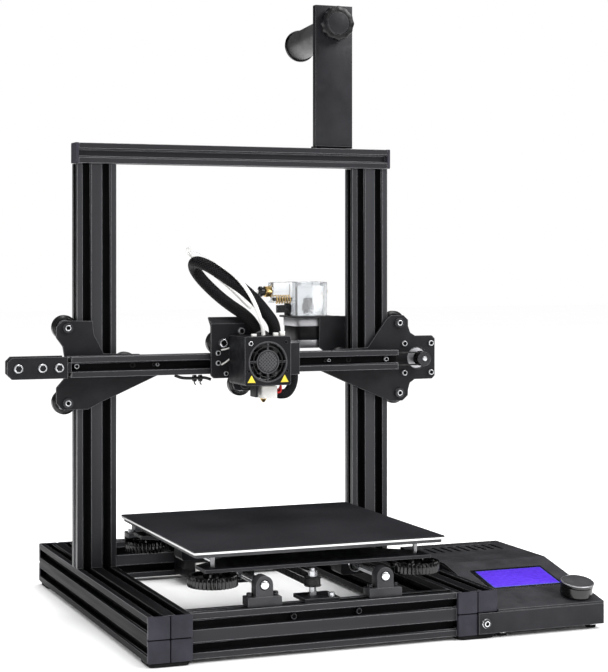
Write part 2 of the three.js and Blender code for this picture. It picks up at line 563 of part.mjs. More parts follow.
// Clear housing: a hollow block over the drive gear, the filament guide's arm and the tube fitting.
function extruderBody() {
  const z0 = EXTRUDER.deck + 2.6;
  const [x, y] = [EXTRUDER.x, EXTRUDER.y];
  const shell = prism(rectangle(x, x + 36, y, y + 36, 3, 2), "z", z0, EXTRUDER.top);
  const cavity = prism(rectangle(x + 3, x + 33, y + 3, y + 33, 2, 1), "z", z0 - 1, EXTRUDER.top - 4);
  const arm = prism(rectangle(x - 23, x + 1, 281, 299, 2, 1), "z", 304, EXTRUDER.top);
  const fitting = join(
    disc("x", FITTING.y, FITTING.z, 5, FITTING.x + 6, x - 22, 6),
    disc("x", FITTING.y, FITTING.z, 4, FITTING.x + 0.2, FITTING.x + 7, 12),
  );
  const inlet = disc("x", FITTING.y, FITTING.z, 2.4, x + 34, x + 42, 10);
  const bore = disc("x", FITTING.y, FITTING.z, 1.1, FITTING.x - 1, x + 44, 8);
  return cut(join(shell.subtract(cavity), arm, fitting, inlet), bore);
}
part("extruder_body", "clear", extruderBody());

const LEVER = { x: 237.5, y: 286 };
function extruderLever() {
  const z0 = EXTRUDER.deck + 2.6;
  const arm = [[LEVER.x - 15, 277], [LEVER.x + 3, 282], [LEVER.x + 3, 289], [LEVER.x - 15, 281]];
  return join(disc("z", LEVER.x, LEVER.y, 3.6, z0, 303.6, 12), prism(arm, "z", 294, 302));
}
part("extruder_lever", "plastic", extruderLever());

function zMotor() {
  const connector = block(337, 346, SCREW.y - 8, SCREW.y + 8, 70, 80);
  const foot = block(SCREW.x - 19, SCREW.x + 19, SCREW.y - 20, SCREW.y + 21, DECK + GAP, DECK + 4);
  return join(stepper("z", SCREW.x, SCREW.y + 0.3, DECK + 2, 84), connector, foot);
}
part("z_motor", "motor", zMotor());

// Lead screw with its coupling; the screw stands free at the top.
part("lead_screw", "steel", join(
  disc("z", SCREW.x, SCREW.y, 9.5, 84 + GAP, 110, 20),
  disc("z", SCREW.x, SCREW.y, SCREW.r, 109, SCREW.z1, 12),
));

// ---------------------------------------------------------------- print carriage
function carriagePlate() {
  const { x0, x1, y0, y1, z0, bend, top } = CARRIAGE;
  const thickness = y1 - y0;
  const tabX1 = 176;
  const tab = prism(
    [[y0, bend - 1], [y1, bend - 1], [y1 + top - bend, top - 1], [y1 + top - bend - 2, top], [y0, bend + 1.5]],
    "x", x0, tabX1);
  const outline = [
    [x0 + 3, z0], [x1 - 3, z0], [x1, z0 + 3], [x1, 262], [x1 - 8, 272], [tabX1, 276], [tabX1, bend], [x0, bend],
    [x0, z0 + 3],
  ];
  const lowerLug = prism(rectangle(152, 176, 218.5, z0 + 5, 5, 2), "y", y0, y1);
  const bolts = CARRIAGE_WHEELS.map(([, x, z]) => wheelBolt(x, z, y0, y1, X_BELT_Y, 240.4));
  const boss = disc("y", 160, 278.5, 3.6, y0 - 2.4, y0 + 0.1, 12);
  const smallScrews = [256.8, 246.8].map((z) => disc("y", 135.5, z, 2.6, y0 - 1.6, y0 + 0.1, 10));
  return join(prism(outline, "y", y0, y0 + thickness), tab, lowerLug, ...bolts, boss, ...smallScrews);
}
part("carriage_plate", "plate", carriagePlate());
CARRIAGE_WHEELS.forEach(([name, x, z]) => part(name, "plastic", vWheel(x, X_BELT_Y, z)));

// Fan cover: a box open at its back and bottom, with a spoked grille and a splayed side wing.
function fanCover() {
  const { x0, x1, y0, y1, z0, z1, wall } = COVER;
  const shell = cut(
    prism(rectangle(x0, x1, z0, z1, 2, 2), "y", y0, y1),
    block(x0 + wall, x1 - wall, y0 + wall, y1 + 1, z0 - 1, z1 - wall),
    disc("y", FAN.x, FAN.z, FAN.opening, y0 - 1, y0 + 3, 32),
    block(COVER_MOUTH.x0, COVER_MOUTH.x1, COVER_MOUTH.y0, COVER_MOUTH.y1, z1 - 5, z1 + 1),
  );
  const { x, z, spoke } = FAN;
  const reach = FAN.opening + 0.5;
  const spokes = join(
    block(x - spoke, x + spoke, y0, y0 + wall, z - reach, z + reach),
    block(x - reach, x + reach, y0, y0 + wall, z - spoke, z + spoke),
  );
  const hub = disc("y", x, z, FAN.hub, y0, y0 + wall, 24);
  const wing = prism(
    [[x1 - 1, y0 + 0.3], [x1 + 12.5, y0 + 8], [x1 + 12, y0 + 9.3], [x1 - 1, y0 + 2.2]],
    "z", 236.5, 268);
  return join(shell, spokes, hub, wing);
}
part("fan_cover", "plastic", fanCover());

function fanRotor() {
  const [y0, y1] = [COVER.y0 + 2.4, COVER.y0 + 11];
  const blades = 7;
  const blade = () => toSolid(new THREE.BoxGeometry(10, 9, 1.1).rotateX(0.6).translate(12.6, 0, 0));
  const fans = Array.from({ length: blades }, (_, i) =>
    blade().rotate([0, (360 / blades) * i, 0]).translate([FAN.x, (y0 + y1) / 2, FAN.z]));
  return join(disc("y", FAN.x, FAN.z, 9.5, y0, y1, 20), ...fans);
}
part("fan_rotor", "plastic", fanRotor());

// Hot end: finned heat sink, heater block and nozzle on one axis, with its arm to the carriage plate.
function hotEnd() {
  const { x, y, tip } = NOZZLE;
  const profilePoints = [[0, tip], [0.8, tip], [3.4, tip + 3.4], [3.4, 213.5], [2.6, 213.5], [2.6, 227]];
  for (let z = 227; z < 257; z += 5) profilePoints.push([10, z], [10, z + 2], [4, z + 2], [4, z + 5]);
  profilePoints.push([5, 257], [5, 268], [4, 268], [4, 274.6], [0, 274.6]);
  const geometry = new THREE.LatheGeometry(path2(profilePoints), 12).rotateX(Math.PI / 2);
  const spindle = toSolid(geometry.translate(x, y, 0));
  const heater = prism(rectangle(170.5, 186.5, 180.5, 198.5, 1.5, 2), "z", 212.7, 224.8);
  const arm = block(167, 182, 190, CARRIAGE.y0 - GAP, 247, 256);
  return join(spindle, heater, arm);
}
part("hot_end", "steel", hotEnd());

// ---------------------------------------------------------------- control box
const slopeZ = (y) => CASE.front + (y - CASE.y0) * Math.tan(SLOPE);

// Side outline of the box at a given inset from its roof.
const caseSide = (y0, y1, z0, inset) => [
  [y0, z0], [y1, z0], [y1, CASE.z1 - inset], [CASE.bend, CASE.z1 - inset], [y0, slopeZ(y0) - inset],
];

function caseTray() {
  const { x0, x1, y0, y1, z0, wall } = CASE;
  const roof = wall + GAP;
  const outer = prism(caseSide(y0, y1, z0, roof), "x", x0, x1);
  const inner = prism(
    [[y0 + wall, z0 + wall], [y1 - wall, z0 + wall], [y1 - wall, 60], [y0 + wall, 60]],
    "x", x0 + wall, x1 - wall);
  const inlet = block(362, 390, y1 - wall - 1, y1 + 1, 14, 34);
  const flange = block(316.2, x0 + 3, y0, -GAP, z0, CASE.front - wall - GAP);
  const screw = disc("y", CASE_SCREW.x, CASE_SCREW.z, CASE_SCREW.r, y0 - 2.8, y0 + 0.1, 16);
  return join(cut(outer, inner, inlet), flange, screw);
}
part("case_tray", "plate", caseTray());

// Turn a solid drawn flat, with its top at Z = 0 and Y measured along the slope, onto the sloped roof.
const ontoSlope = (solid) => solid
  .rotate([(SLOPE * 180) / Math.PI, 0, 0])
  .translate([0, CASE.y0, CASE.front]);
const alongSlope = (y) => (y - CASE.y0) / Math.cos(SLOPE);

function caseLid() {
  const { x0, x1, y0, y1, wall } = CASE;
  const sheet = prism([
    [y0, slopeZ(y0) - wall], [CASE.bend, CASE.z1 - wall], [y1, CASE.z1 - wall], [y1, CASE.z1],
    [CASE.bend, CASE.z1], [y0, slopeZ(y0)],
  ], "x", x0, x1);
  const window = ontoSlope(block(LCD.x0, LCD.x1, alongSlope(LCD.y0), alongSlope(LCD.y1), -5, 5));
  const shaftHole = ontoSlope(disc("z", ENCODER.x, alongSlope(ENCODER.y), 4, -5, 5, 16));
  const vents = Array.from({ length: 9 }, (_, i) => block(352 + 9.5 * i, 357 + 9.5 * i, 168, 200, 40, 60));
  return cut(sheet, window, shaftHole, ...vents);
}
part("case_lid", "plate", caseLid());

part("lcd_screen", "screen", ontoSlope(block(
  LCD.x0 + GAP, LCD.x1 - GAP, alongSlope(LCD.y0) + GAP, alongSlope(LCD.y1) - GAP, 0.6 - LCD.depth, 0.6)));

part("encoder_shaft", "steel", ontoSlope(disc("z", ENCODER.x, alongSlope(ENCODER.y), 3, -9, 9, 12)));
function encoderKnob() {
  const { r, height } = ENCODER;
  const bottom = 1.8;
  const top = bottom + height;
  const ring = [
    [0, top - 4], [3.4, top - 4], [3.4, bottom], [r - 0.6, bottom], [r - 0.6, top - 3.5], [r, top - 3],
    [r, top - 0.8], [r - 0.8, top], [0, top],
  ];
  const geometry = new THREE.LatheGeometry(path2(ring), 28).rotateX(Math.PI / 2);
  return ontoSlope(toSolid(geometry.translate(ENCODER.x, alongSlope(ENCODER.y), 0)));
}
part("encoder_knob", "plastic", encoderKnob());

// ---------------------------------------------------------------- cords
// Braided loop from the fan cover's top, up to the left and back behind it.
const HARNESS_R = 6;
const HARNESS = [
  [187.8, 192.5, COVER.z1 + GAP], [187.8, 192.5, 279.5], [186.8, 192.8, 285], [184, 193.6, 290.8],
  [178, 195, 298.9], [170.8, 196.5, 307.7], [162.2, 197.5, 316], [152.8, 198, 323.2], [143.2, 198, 329.4],
  [134.5, 198.3, 335], [125.5, 200, 341], [117.8, 205.5, 345.8], [113.6, 214.5, 347.6], [113.6, 224.5, 345.6],
  [117.5, 232.5, 339.6], [125, 236, 330.8], [134.5, 234.5, 320.8], [144.5, 230, 311], [153.8, 223.4, 302.8],
  [161.2, 215.6, 296.4], [167, 209.3, 289.8], [170.7, 206.1, 283.4], [172.6, 204.8, 277.6],
];
part("harness", "cable", cord(HARNESS, HARNESS_R, 10, 24));

// Filament tube from the extruder's fitting, forward under the top bar's path, round the loop and down.
const FEED_TUBE_R = 2;
const FEED_TUBE = [
  [FITTING.x - GAP, FITTING.y, FITTING.z], [202, 290, 316], [196.9, 288.8, 315.6], [191.7, 285.3, 314],
  [188.2, 280.1, 311.4], [187, 273.5, 307.8], [186.6, 264.5, 303.8], [185, 255, 301], [180.6, 246.6, 301.4],
  [172, 240.6, 307.4], [160.3, 238.6, 318.2], [147, 239.3, 329.5], [134, 240, 339.5], [121.5, 238.5, 349],
  [111, 231.5, 356.2], [105.8, 220.5, 359.8], [105.6, 208.5, 360.6], [111, 199, 358.2], [121, 194.2, 352],
  [132, 192.3, 344.6], [142.3, 190.9, 337], [151.5, 189.8, 328], [159.3, 188.8, 317.2], [165.5, 188.4, 305.8],
  [170.2, 188.6, 294], [173.4, 188.9, 283.6], [NOZZLE.x, NOZZLE.y, 275],
];
part("feed_tube", "tube", cord(FEED_TUBE, FEED_TUBE_R, 8, 44));

export default machine;
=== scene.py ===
"""The looks of a desktop filament printer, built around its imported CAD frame."""
from math import atan2, cos, pi, radians, sin, sqrt

import bmesh
import bpy
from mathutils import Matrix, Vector


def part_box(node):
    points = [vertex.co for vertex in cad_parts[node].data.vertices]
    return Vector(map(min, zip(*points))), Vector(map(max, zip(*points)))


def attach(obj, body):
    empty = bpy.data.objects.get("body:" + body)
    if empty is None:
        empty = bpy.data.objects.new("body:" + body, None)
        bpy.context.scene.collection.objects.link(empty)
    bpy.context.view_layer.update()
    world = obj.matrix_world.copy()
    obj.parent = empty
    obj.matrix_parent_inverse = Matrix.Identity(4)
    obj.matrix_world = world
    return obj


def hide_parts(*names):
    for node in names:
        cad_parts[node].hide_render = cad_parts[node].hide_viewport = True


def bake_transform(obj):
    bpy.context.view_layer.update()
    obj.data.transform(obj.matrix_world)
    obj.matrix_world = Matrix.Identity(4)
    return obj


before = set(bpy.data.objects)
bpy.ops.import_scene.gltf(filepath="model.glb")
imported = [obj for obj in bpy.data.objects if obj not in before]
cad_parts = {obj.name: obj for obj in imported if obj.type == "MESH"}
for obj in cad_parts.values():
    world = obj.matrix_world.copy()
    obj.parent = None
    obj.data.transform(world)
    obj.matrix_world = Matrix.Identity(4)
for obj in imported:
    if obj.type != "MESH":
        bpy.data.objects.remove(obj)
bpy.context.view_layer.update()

# Machine coordinates are millimetres from the front left corner of the base, at floor level.
MM = 0.001
END_CAP = 4.3 * MM
RAIL_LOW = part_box("left_rail")[0]
X, Y, Z = Vector((1, 0, 0)), Vector((0, 1, 0)), Vector((0, 0, 1))
scene = bpy.context.scene


def at(x, y, z):
    """A point of the scene, from machine millimetres."""
    return Vector((RAIL_LOW.x + x * MM, RAIL_LOW.y - END_CAP + y * MM, z * MM))


def extent(node):
    """Low and high corners of a CAD node in machine millimetres."""
    origin = at(0, 0, 0)
    return [(corner - origin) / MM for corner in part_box(node)]


def middle(node):
    """Centre of a CAD node's box in machine millimetres."""
    low, high = extent(node)
    return (low + high) / 2


def place_in_scene(name, data):
    thing = bpy.data.objects.new(name, data)
    scene.collection.objects.link(thing)
    return thing


# -------- camera
camera_data = bpy.data.cameras.new("camera")
camera_data.lens = 93.27
camera_data.shift_y = -0.1222
camera = place_in_scene("camera", camera_data)
camera.location = at(-423.8, -1435.5, 355.9)
camera.rotation_euler = (radians(90), 0, radians(-21.554))
bpy.context.scene.camera = camera


# -------- procedural materials
class Nodes:
    """A material's node tree, with short calls to add and join nodes."""

    def __init__(self, name):
        self.material = bpy.data.materials.new(name)
        self.material.use_nodes = True
        self.tree = self.material.node_tree
        self.shader = self.tree.nodes["Principled BSDF"]

    def add(self, kind, inputs=None, **settings):
        node = self.tree.nodes.new(f"ShaderNode{kind}")
        for key, value in settings.items():
            setattr(node, key, value)
        for key, value in (inputs or {}).items():
            self.feed(node.inputs[key], value)
        return node

    def feed(self, socket, value):
        if isinstance(value, bpy.types.NodeSocket):
            self.tree.links.new(value, socket)
        else:
            socket.default_value = value

    def math(self, operation, first, second=0.5):
        return self.add("Math", {0: first, 1: second}, operation=operation).outputs[0]

    def place(self, stretch=(1, 1, 1), source="Object"):
        coordinates = self.add("TexCoord").outputs[source]
        return self.add("Mapping", {"Vector": coordinates, "Scale": stretch}).outputs[0]

    def noise(self, vector, scale, detail=3.0):
        node = self.add("TexNoise", {"Vector": vector, "Scale": scale, "Detail": detail})
        return node.outputs["Fac"]

    def spread(self, value, low, high, start=0.3, end=0.7):
        inputs = {"Value": value, "From Min": start, "From Max": end, "To Min": low, "To Max": high}
        return self.add("MapRange", inputs).outputs[0]

    def blend(self, factor, first, second):
        node = self.add("Mix", {"Factor": factor}, data_type="RGBA")
        self.feed(node.inputs[6], first)
        self.feed(node.inputs[7], second)
        return node.outputs[2]

    def relief(self, height, strength, distance=0.0002, rounding=0.0):
        inputs = {"Height": height, "Strength": strength, "Distance": distance}
        if rounding:
            inputs["Normal"] = self.add("Bevel", {"Radius": rounding}, samples=4).outputs[0]
        return self.add("Bump", inputs).outputs[0]

    def edges(self, radius):
        """1 along the edges of a piece, 0 on the faces between them."""
        soft = self.add("Bevel", {"Radius": radius}, samples=4).outputs[0]
        flat = self.add("NewGeometry").outputs["Normal"]
        match = self.add("VectorMath", {0: soft, 1: flat}, operation="DOT_PRODUCT")
        return self.spread(match.outputs["Value"], 1.0, 0.0, 0.84, 0.985)

    def finish(self, **values):
        for key, value in values.items():
            self.feed(self.shader.inputs[key.replace("_", " ").title().replace("Ior", "IOR")], value)
        return self.material


def shade(colour, factor):
    return tuple(min(1.0, c * factor) for c in colour) + (1.0,)


def finish(name, colour, rough, metal=0.0, grain=1400, bump=0.12, tint=0.25, uneven=0.08,
           stretch=(1, 1, 1), rounding=0.0004, coat=0.0, shine=0.5, edge=0.0):
    """A solid finish: uneven tone, fine grain in its relief and gloss, softened edges, and, where edge is
    given, a painted highlight that lightens every edge.
    """
    nodes = Nodes(name)
    place = nodes.place(stretch)
    tone = nodes.noise(place, 45)
    fine = nodes.noise(place, grain, 2.0)
    patches = nodes.spread(nodes.noise(place, 160), rough - uneven, rough + uneven)
    base = nodes.blend(nodes.spread(tone, 0, 1), shade(colour, 1 - tint), shade(colour, 1 + tint))
    # Painted highlight: the edges are blended toward a lighter grey.
    if edge:
        base = nodes.blend(nodes.edges(rounding * 2), base, (edge, edge, edge * 1.04, 1))
    return nodes.finish(
        base_color=base,
        metallic=metal,
        roughness=patches,
        coat_weight=coat,
        specular_ior_level=shine,
        normal=nodes.relief(fine, bump, rounding=rounding),
    )


ALONG_X, ALONG_Y, ALONG_Z = (0.03, 1, 1), (1, 0.03, 1), (1, 1, 0.03)
# One black anodised finish in three copies whose tone and gloss differ by how light falls on them: painted
# light and shade, with the rails (y) darkest and dullest and the uprights (z) lightest.
anodised = {
    axis: finish(f"anodised_{axis}", colour, 0.38, metal, grain=2200, bump=0.12, stretch=stretch, shine=shine,
                 edge=edge)
    for axis, stretch, colour, metal, shine, edge in (
        ("x", ALONG_X, (0.025, 0.025, 0.028), 0.25, 0.2, 0.42),
        ("y", ALONG_Y, (0.01, 0.01, 0.011), 0.0, 0.02, 0.26),
        ("z", ALONG_Z, (0.032, 0.032, 0.036), 0.25, 0.3, 0.4))
}
# Near-black painted shade for slot interiors, screw sockets, grooves and gaps.
painted_shade_black = finish("painted_shade_black", (0.003, 0.003, 0.0035), 0.6, grain=2200, bump=0.1, shine=0.04)
powder = finish("powder_coat", (0.012, 0.012, 0.014), 0.5, grain=2600, bump=0.35, shine=0.16, edge=0.2)
sheet_metal = finish("sheet_metal", (0.013, 0.013, 0.016), 0.45, grain=2400, bump=0.25, shine=0.25,
                     edge=0.15)
# A lighter copy of the sheet metal for up-facing faces: painted sheen.
lid_top_painted_sheen = finish("lid_top_painted_sheen", (0.034, 0.034, 0.038), 0.42, grain=2400, bump=0.25, shine=0.25, edge=0.15)
cap_plastic = finish("cap_plastic", (0.028, 0.027, 0.037), 0.5, grain=1800, bump=0.2, rounding=0.0006,
                     shine=0.2)
cover_plastic = finish("cover_plastic", (0.01, 0.01, 0.012), 0.45, grain=1900, bump=0.3, shine=0.12,
                       edge=0.22)
black_plastic = finish("black_plastic", (0.006, 0.006, 0.007), 0.3, grain=1500, bump=0.12, shine=0.35,
                       edge=0.03)
knob_black = finish("knob_black", (0.003, 0.003, 0.003), 0.16, grain=1200, bump=0.08, shine=0.6)
grey_casting = finish("grey_casting", (0.036, 0.036, 0.04), 0.5, 0.1, grain=1700, bump=0.35, shine=0.3,
                      edge=0.14)
rubber = finish("rubber", (0.008, 0.008, 0.008), 0.85, grain=1200, bump=0.3, shine=0.2)
wheel_plastic = finish("wheel_plastic", (0.01, 0.01, 0.011), 0.3, grain=900, bump=0.05, shine=0.4)
steel = finish("steel", (0.66, 0.67, 0.69), 0.28, 0.75, grain=3000, bump=0.05, tint=0.08)
dark_steel = finish("dark_steel", (0.05, 0.05, 0.054), 0.3, 0.9, grain=2600, bump=0.08)
tube_grey = finish("tube_grey", (0.06, 0.06, 0.062), 0.4, 0.3, grain=2000, bump=0.1)
chrome = finish("chrome", (0.8, 0.81, 0.83), 0.14, 0.8, grain=1500, bump=0.02, tint=0.04, uneven=0.03)
aluminium = finish("aluminium", (0.46, 0.46, 0.48), 0.42, 0.95, grain=3200, bump=0.12, tint=0.1)
zinc = finish("zinc", (0.3, 0.3, 0.31), 0.35, 0.9, grain=2000, bump=0.1, tint=0.1)
brass = finish("brass", (0.72, 0.5, 0.2), 0.28, 1.0, grain=2500, bump=0.06, tint=0.1)
motor_black = finish("motor_black", (0.004, 0.004, 0.005), 0.4, grain=2400, bump=0.2, shine=0.2, edge=0.03)
silicone = finish("silicone", (0.8, 0.79, 0.76), 0.6, grain=1300, bump=0.15, tint=0.05)
red_wire = finish("red_wire", (0.5, 0.012, 0.01), 0.4, grain=800, bump=0.05, tint=0.1)
white_tube = finish("white_tube", (0.85, 0.85, 0.83), 0.28, grain=700, bump=0.04, tint=0.04, coat=0.2)
heater_plate = finish("heater_plate", (0.06, 0.06, 0.064), 0.45, 0.5, grain=1800, bump=0.15, shine=0.3)
zip_tie = finish("zip_tie", (0.012, 0.012, 0.012), 0.35, grain=800, bump=0.08)


def printing_surface():
    """Dark coating with a fine glassy sparkle."""
    nodes = Nodes("printing_surface")
    place = nodes.place()
    cells = nodes.add("TexVoronoi", {"Vector": place, "Scale": 1500.0}).outputs["Distance"]
    speck = nodes.spread(cells, 1.0, 0.0, 0.05, 0.22)
    cloud = nodes.spread(nodes.noise(place, 14), 0.0, 1.0)
    base = nodes.blend(cloud, (0.012, 0.012, 0.015, 1), (0.022, 0.022, 0.026, 1))
    return nodes.finish(
        base_color=nodes.blend(speck, base, (0.1, 0.1, 0.11, 1)),
        roughness=nodes.spread(cells, 0.45, 0.7, 0.0, 0.5),
        specular_ior_level=0.12,
        normal=nodes.relief(cells, 0.4, 0.00015),
    )


def plate_edge():
    """Cut edge of the print plate: a bright core under the dark coating's thickness."""
    nodes = Nodes("plate_edge")
    height = nodes.add("SeparateXYZ", {"Vector": nodes.place()}).outputs["Z"]
    top = extent("print_plate")[1].z * MM
    coat_level = nodes.spread(height, 0.0, 1.0, top - 1.2 * MM, top - 1.0 * MM)
    core_level = nodes.spread(height, 0.0, 1.0, top - 2.9 * MM, top - 2.6 * MM)
    grain = nodes.spread(nodes.noise(nodes.place(), 900), 0.7, 0.86)
    core = nodes.blend(core_level, (0.1, 0.1, 0.1, 1), grain)
    return nodes.finish(
        base_color=nodes.blend(coat_level, core, (0.02, 0.02, 0.022, 1)),
        roughness=0.45,
        specular_ior_level=0.2,
    )


def braid():
    """Two crossing sets of strands around a sleeve, from its length and its turn."""
    strands_per_metre, strands_around = 2600.0, 12
    nodes = Nodes("braid")
    waves = []
    for slant in (1, -1):
        split = nodes.add("SeparateXYZ", {"Vector": nodes.place(source="UV")}).outputs
        lead = nodes.math("MULTIPLY", split["Y"], strands_per_metre * slant)
        turn = nodes.math("MULTIPLY", split["X"], strands_around * 2 * pi)
        waves.append(nodes.math("SINE", nodes.math("ADD", lead, turn)))
    weave = nodes.math("MAXIMUM", *waves)
    strand = nodes.spread(weave, 0.0, 1.0, 0.0, 1.0)
    return nodes.finish(
        base_color=nodes.blend(strand, (0.001, 0.001, 0.001, 1), (0.012, 0.012, 0.014, 1)),
        roughness=nodes.spread(weave, 0.75, 0.45, 0.0, 1.0),
        specular_ior_level=0.12,
        normal=nodes.relief(strand, 0.9, 0.0004),
    )


def belt_rubber():
    """Black belt whose 2 mm teeth show as fine ribs across it."""
    nodes = Nodes("belt_rubber")
    ribs = nodes.add("TexWave", {"Vector": nodes.place((1, 1, 0)), "Scale": 80.0},
                     bands_direction="DIAGONAL")
    fibre = nodes.noise(nodes.place(), 900)
    return nodes.finish(
        base_color=nodes.blend(ribs.outputs["Fac"], (0.006, 0.006, 0.006, 1), (0.02, 0.02, 0.021, 1)),
        roughness=nodes.spread(fibre, 0.6, 0.85),
        normal=nodes.relief(ribs.outputs["Fac"], 0.5, 0.0004),
    )


def clear_plastic():
    """Clear moulded plastic with a slight haze."""
    nodes = Nodes("clear_plastic")
    haze = nodes.noise(nodes.place(), 260)
    return nodes.finish(
        base_color=(0.9, 0.92, 0.94, 1),
        roughness=nodes.spread(haze, 0.04, 0.16),
        transmission_weight=0.9,
        ior=1.45,
        coat_weight=0.3,
        normal=nodes.relief(haze, 0.08),
    )


def backlit_screen():
    """Blue-violet panel with the faint cells of an unlit character matrix."""
    nodes = Nodes("backlit_screen")
    place = nodes.place()
    cells = nodes.add("TexBrick", {"Vector": place, "Scale": 55.0, "Mortar Size": 0.02})
    cloud = nodes.spread(nodes.noise(nodes.place((1, 3, 1)), 220), 0.0, 1.0)
    blue = nodes.blend(cloud, (0.05, 0.016, 0.4, 1), (0.085, 0.03, 0.55, 1))
    lit = nodes.blend(nodes.spread(cells.outputs["Fac"], 0.0, 0.25, 0.0, 1.0), blue, (0.13, 0.07, 0.62, 1))
    return nodes.finish(
        base_color=lit,
        roughness=0.3,
        specular_ior_level=0.2,
        emission_color=lit,
        emission_strength=0.25,
    )


braided = braid()
belt_black = belt_rubber()


# -------- shapes in mesh code
def across(axis):
    """Two directions square to an axis."""
    side = Z.cross(axis) if abs(axis.z) < 0.9 else Y.cross(axis)
    side.normalize()
    return side, axis.cross(side)


def full_turn(steps):
    """Angles of equal steps once round."""
    return [2 * pi * i / steps for i in range(steps)]


def corners(a, b, reach):
    """The four corners of a square about a point, in a plane's own two coordinates."""
    return [(a + da, b + db) for da in (-reach, reach) for db in (-reach, reach)]


def spokes(axis, count):
    """Unit vectors at equal steps round an axis."""
    one, two = across(axis)
    return [one * cos(t) + two * sin(t) for t in full_turn(count)]


def washer(inner, outer, low, high):
    """Section of a flat ring, to be turned as a closed loop."""
    return [(inner, low), (outer, low), (outer, high), (inner, high)]


def mirrored(points):
    """A section's half, and the same half turned over."""
    return points + [(r, -h) for r, h in reversed(points)]


def arc(centre, radius, start, stop, steps):
    """Points on a circle from one angle to another, both ends included."""
    angles = [start + (stop - start) * i / steps for i in range(steps + 1)]
    return [(centre[0] + radius * cos(a), centre[1] + radius * sin(a)) for a in angles]


def rounded(a0, a1, b0, b1, corner, steps=4):
    """Outline of a rectangle with round corners."""
    quarter = pi / 2
    centres = [(a1 - corner, b1 - corner), (a0 + corner, b1 - corner), (a0 + corner, b0 + corner),
               (a1 - corner, b0 + corner)]
    return [p for i, c in enumerate(centres) for p in arc(c, corner, i * quarter, (i + 1) * quarter, steps)]


def smooth_route(per_span, *places):
    """A Catmull-Rom curve through places in machine millimetres, with the same steps on every span."""
    points = [at(*place) for place in places]
    ends = [2 * points[0] - points[1], *points, 2 * points[-1] - points[-2]]
    route = []
    for a, b, c, d in zip(ends, ends[1:], ends[2:], ends[3:]):
        for i in range(per_span):
            t = i / per_span
            route.append(0.5 * (2 * b + (c - a) * t + (2 * a - 5 * b + 4 * c - d) * t ** 2
                                + (3 * b - a - 3 * c + d) * t ** 3))
    return route + [points[-1]]


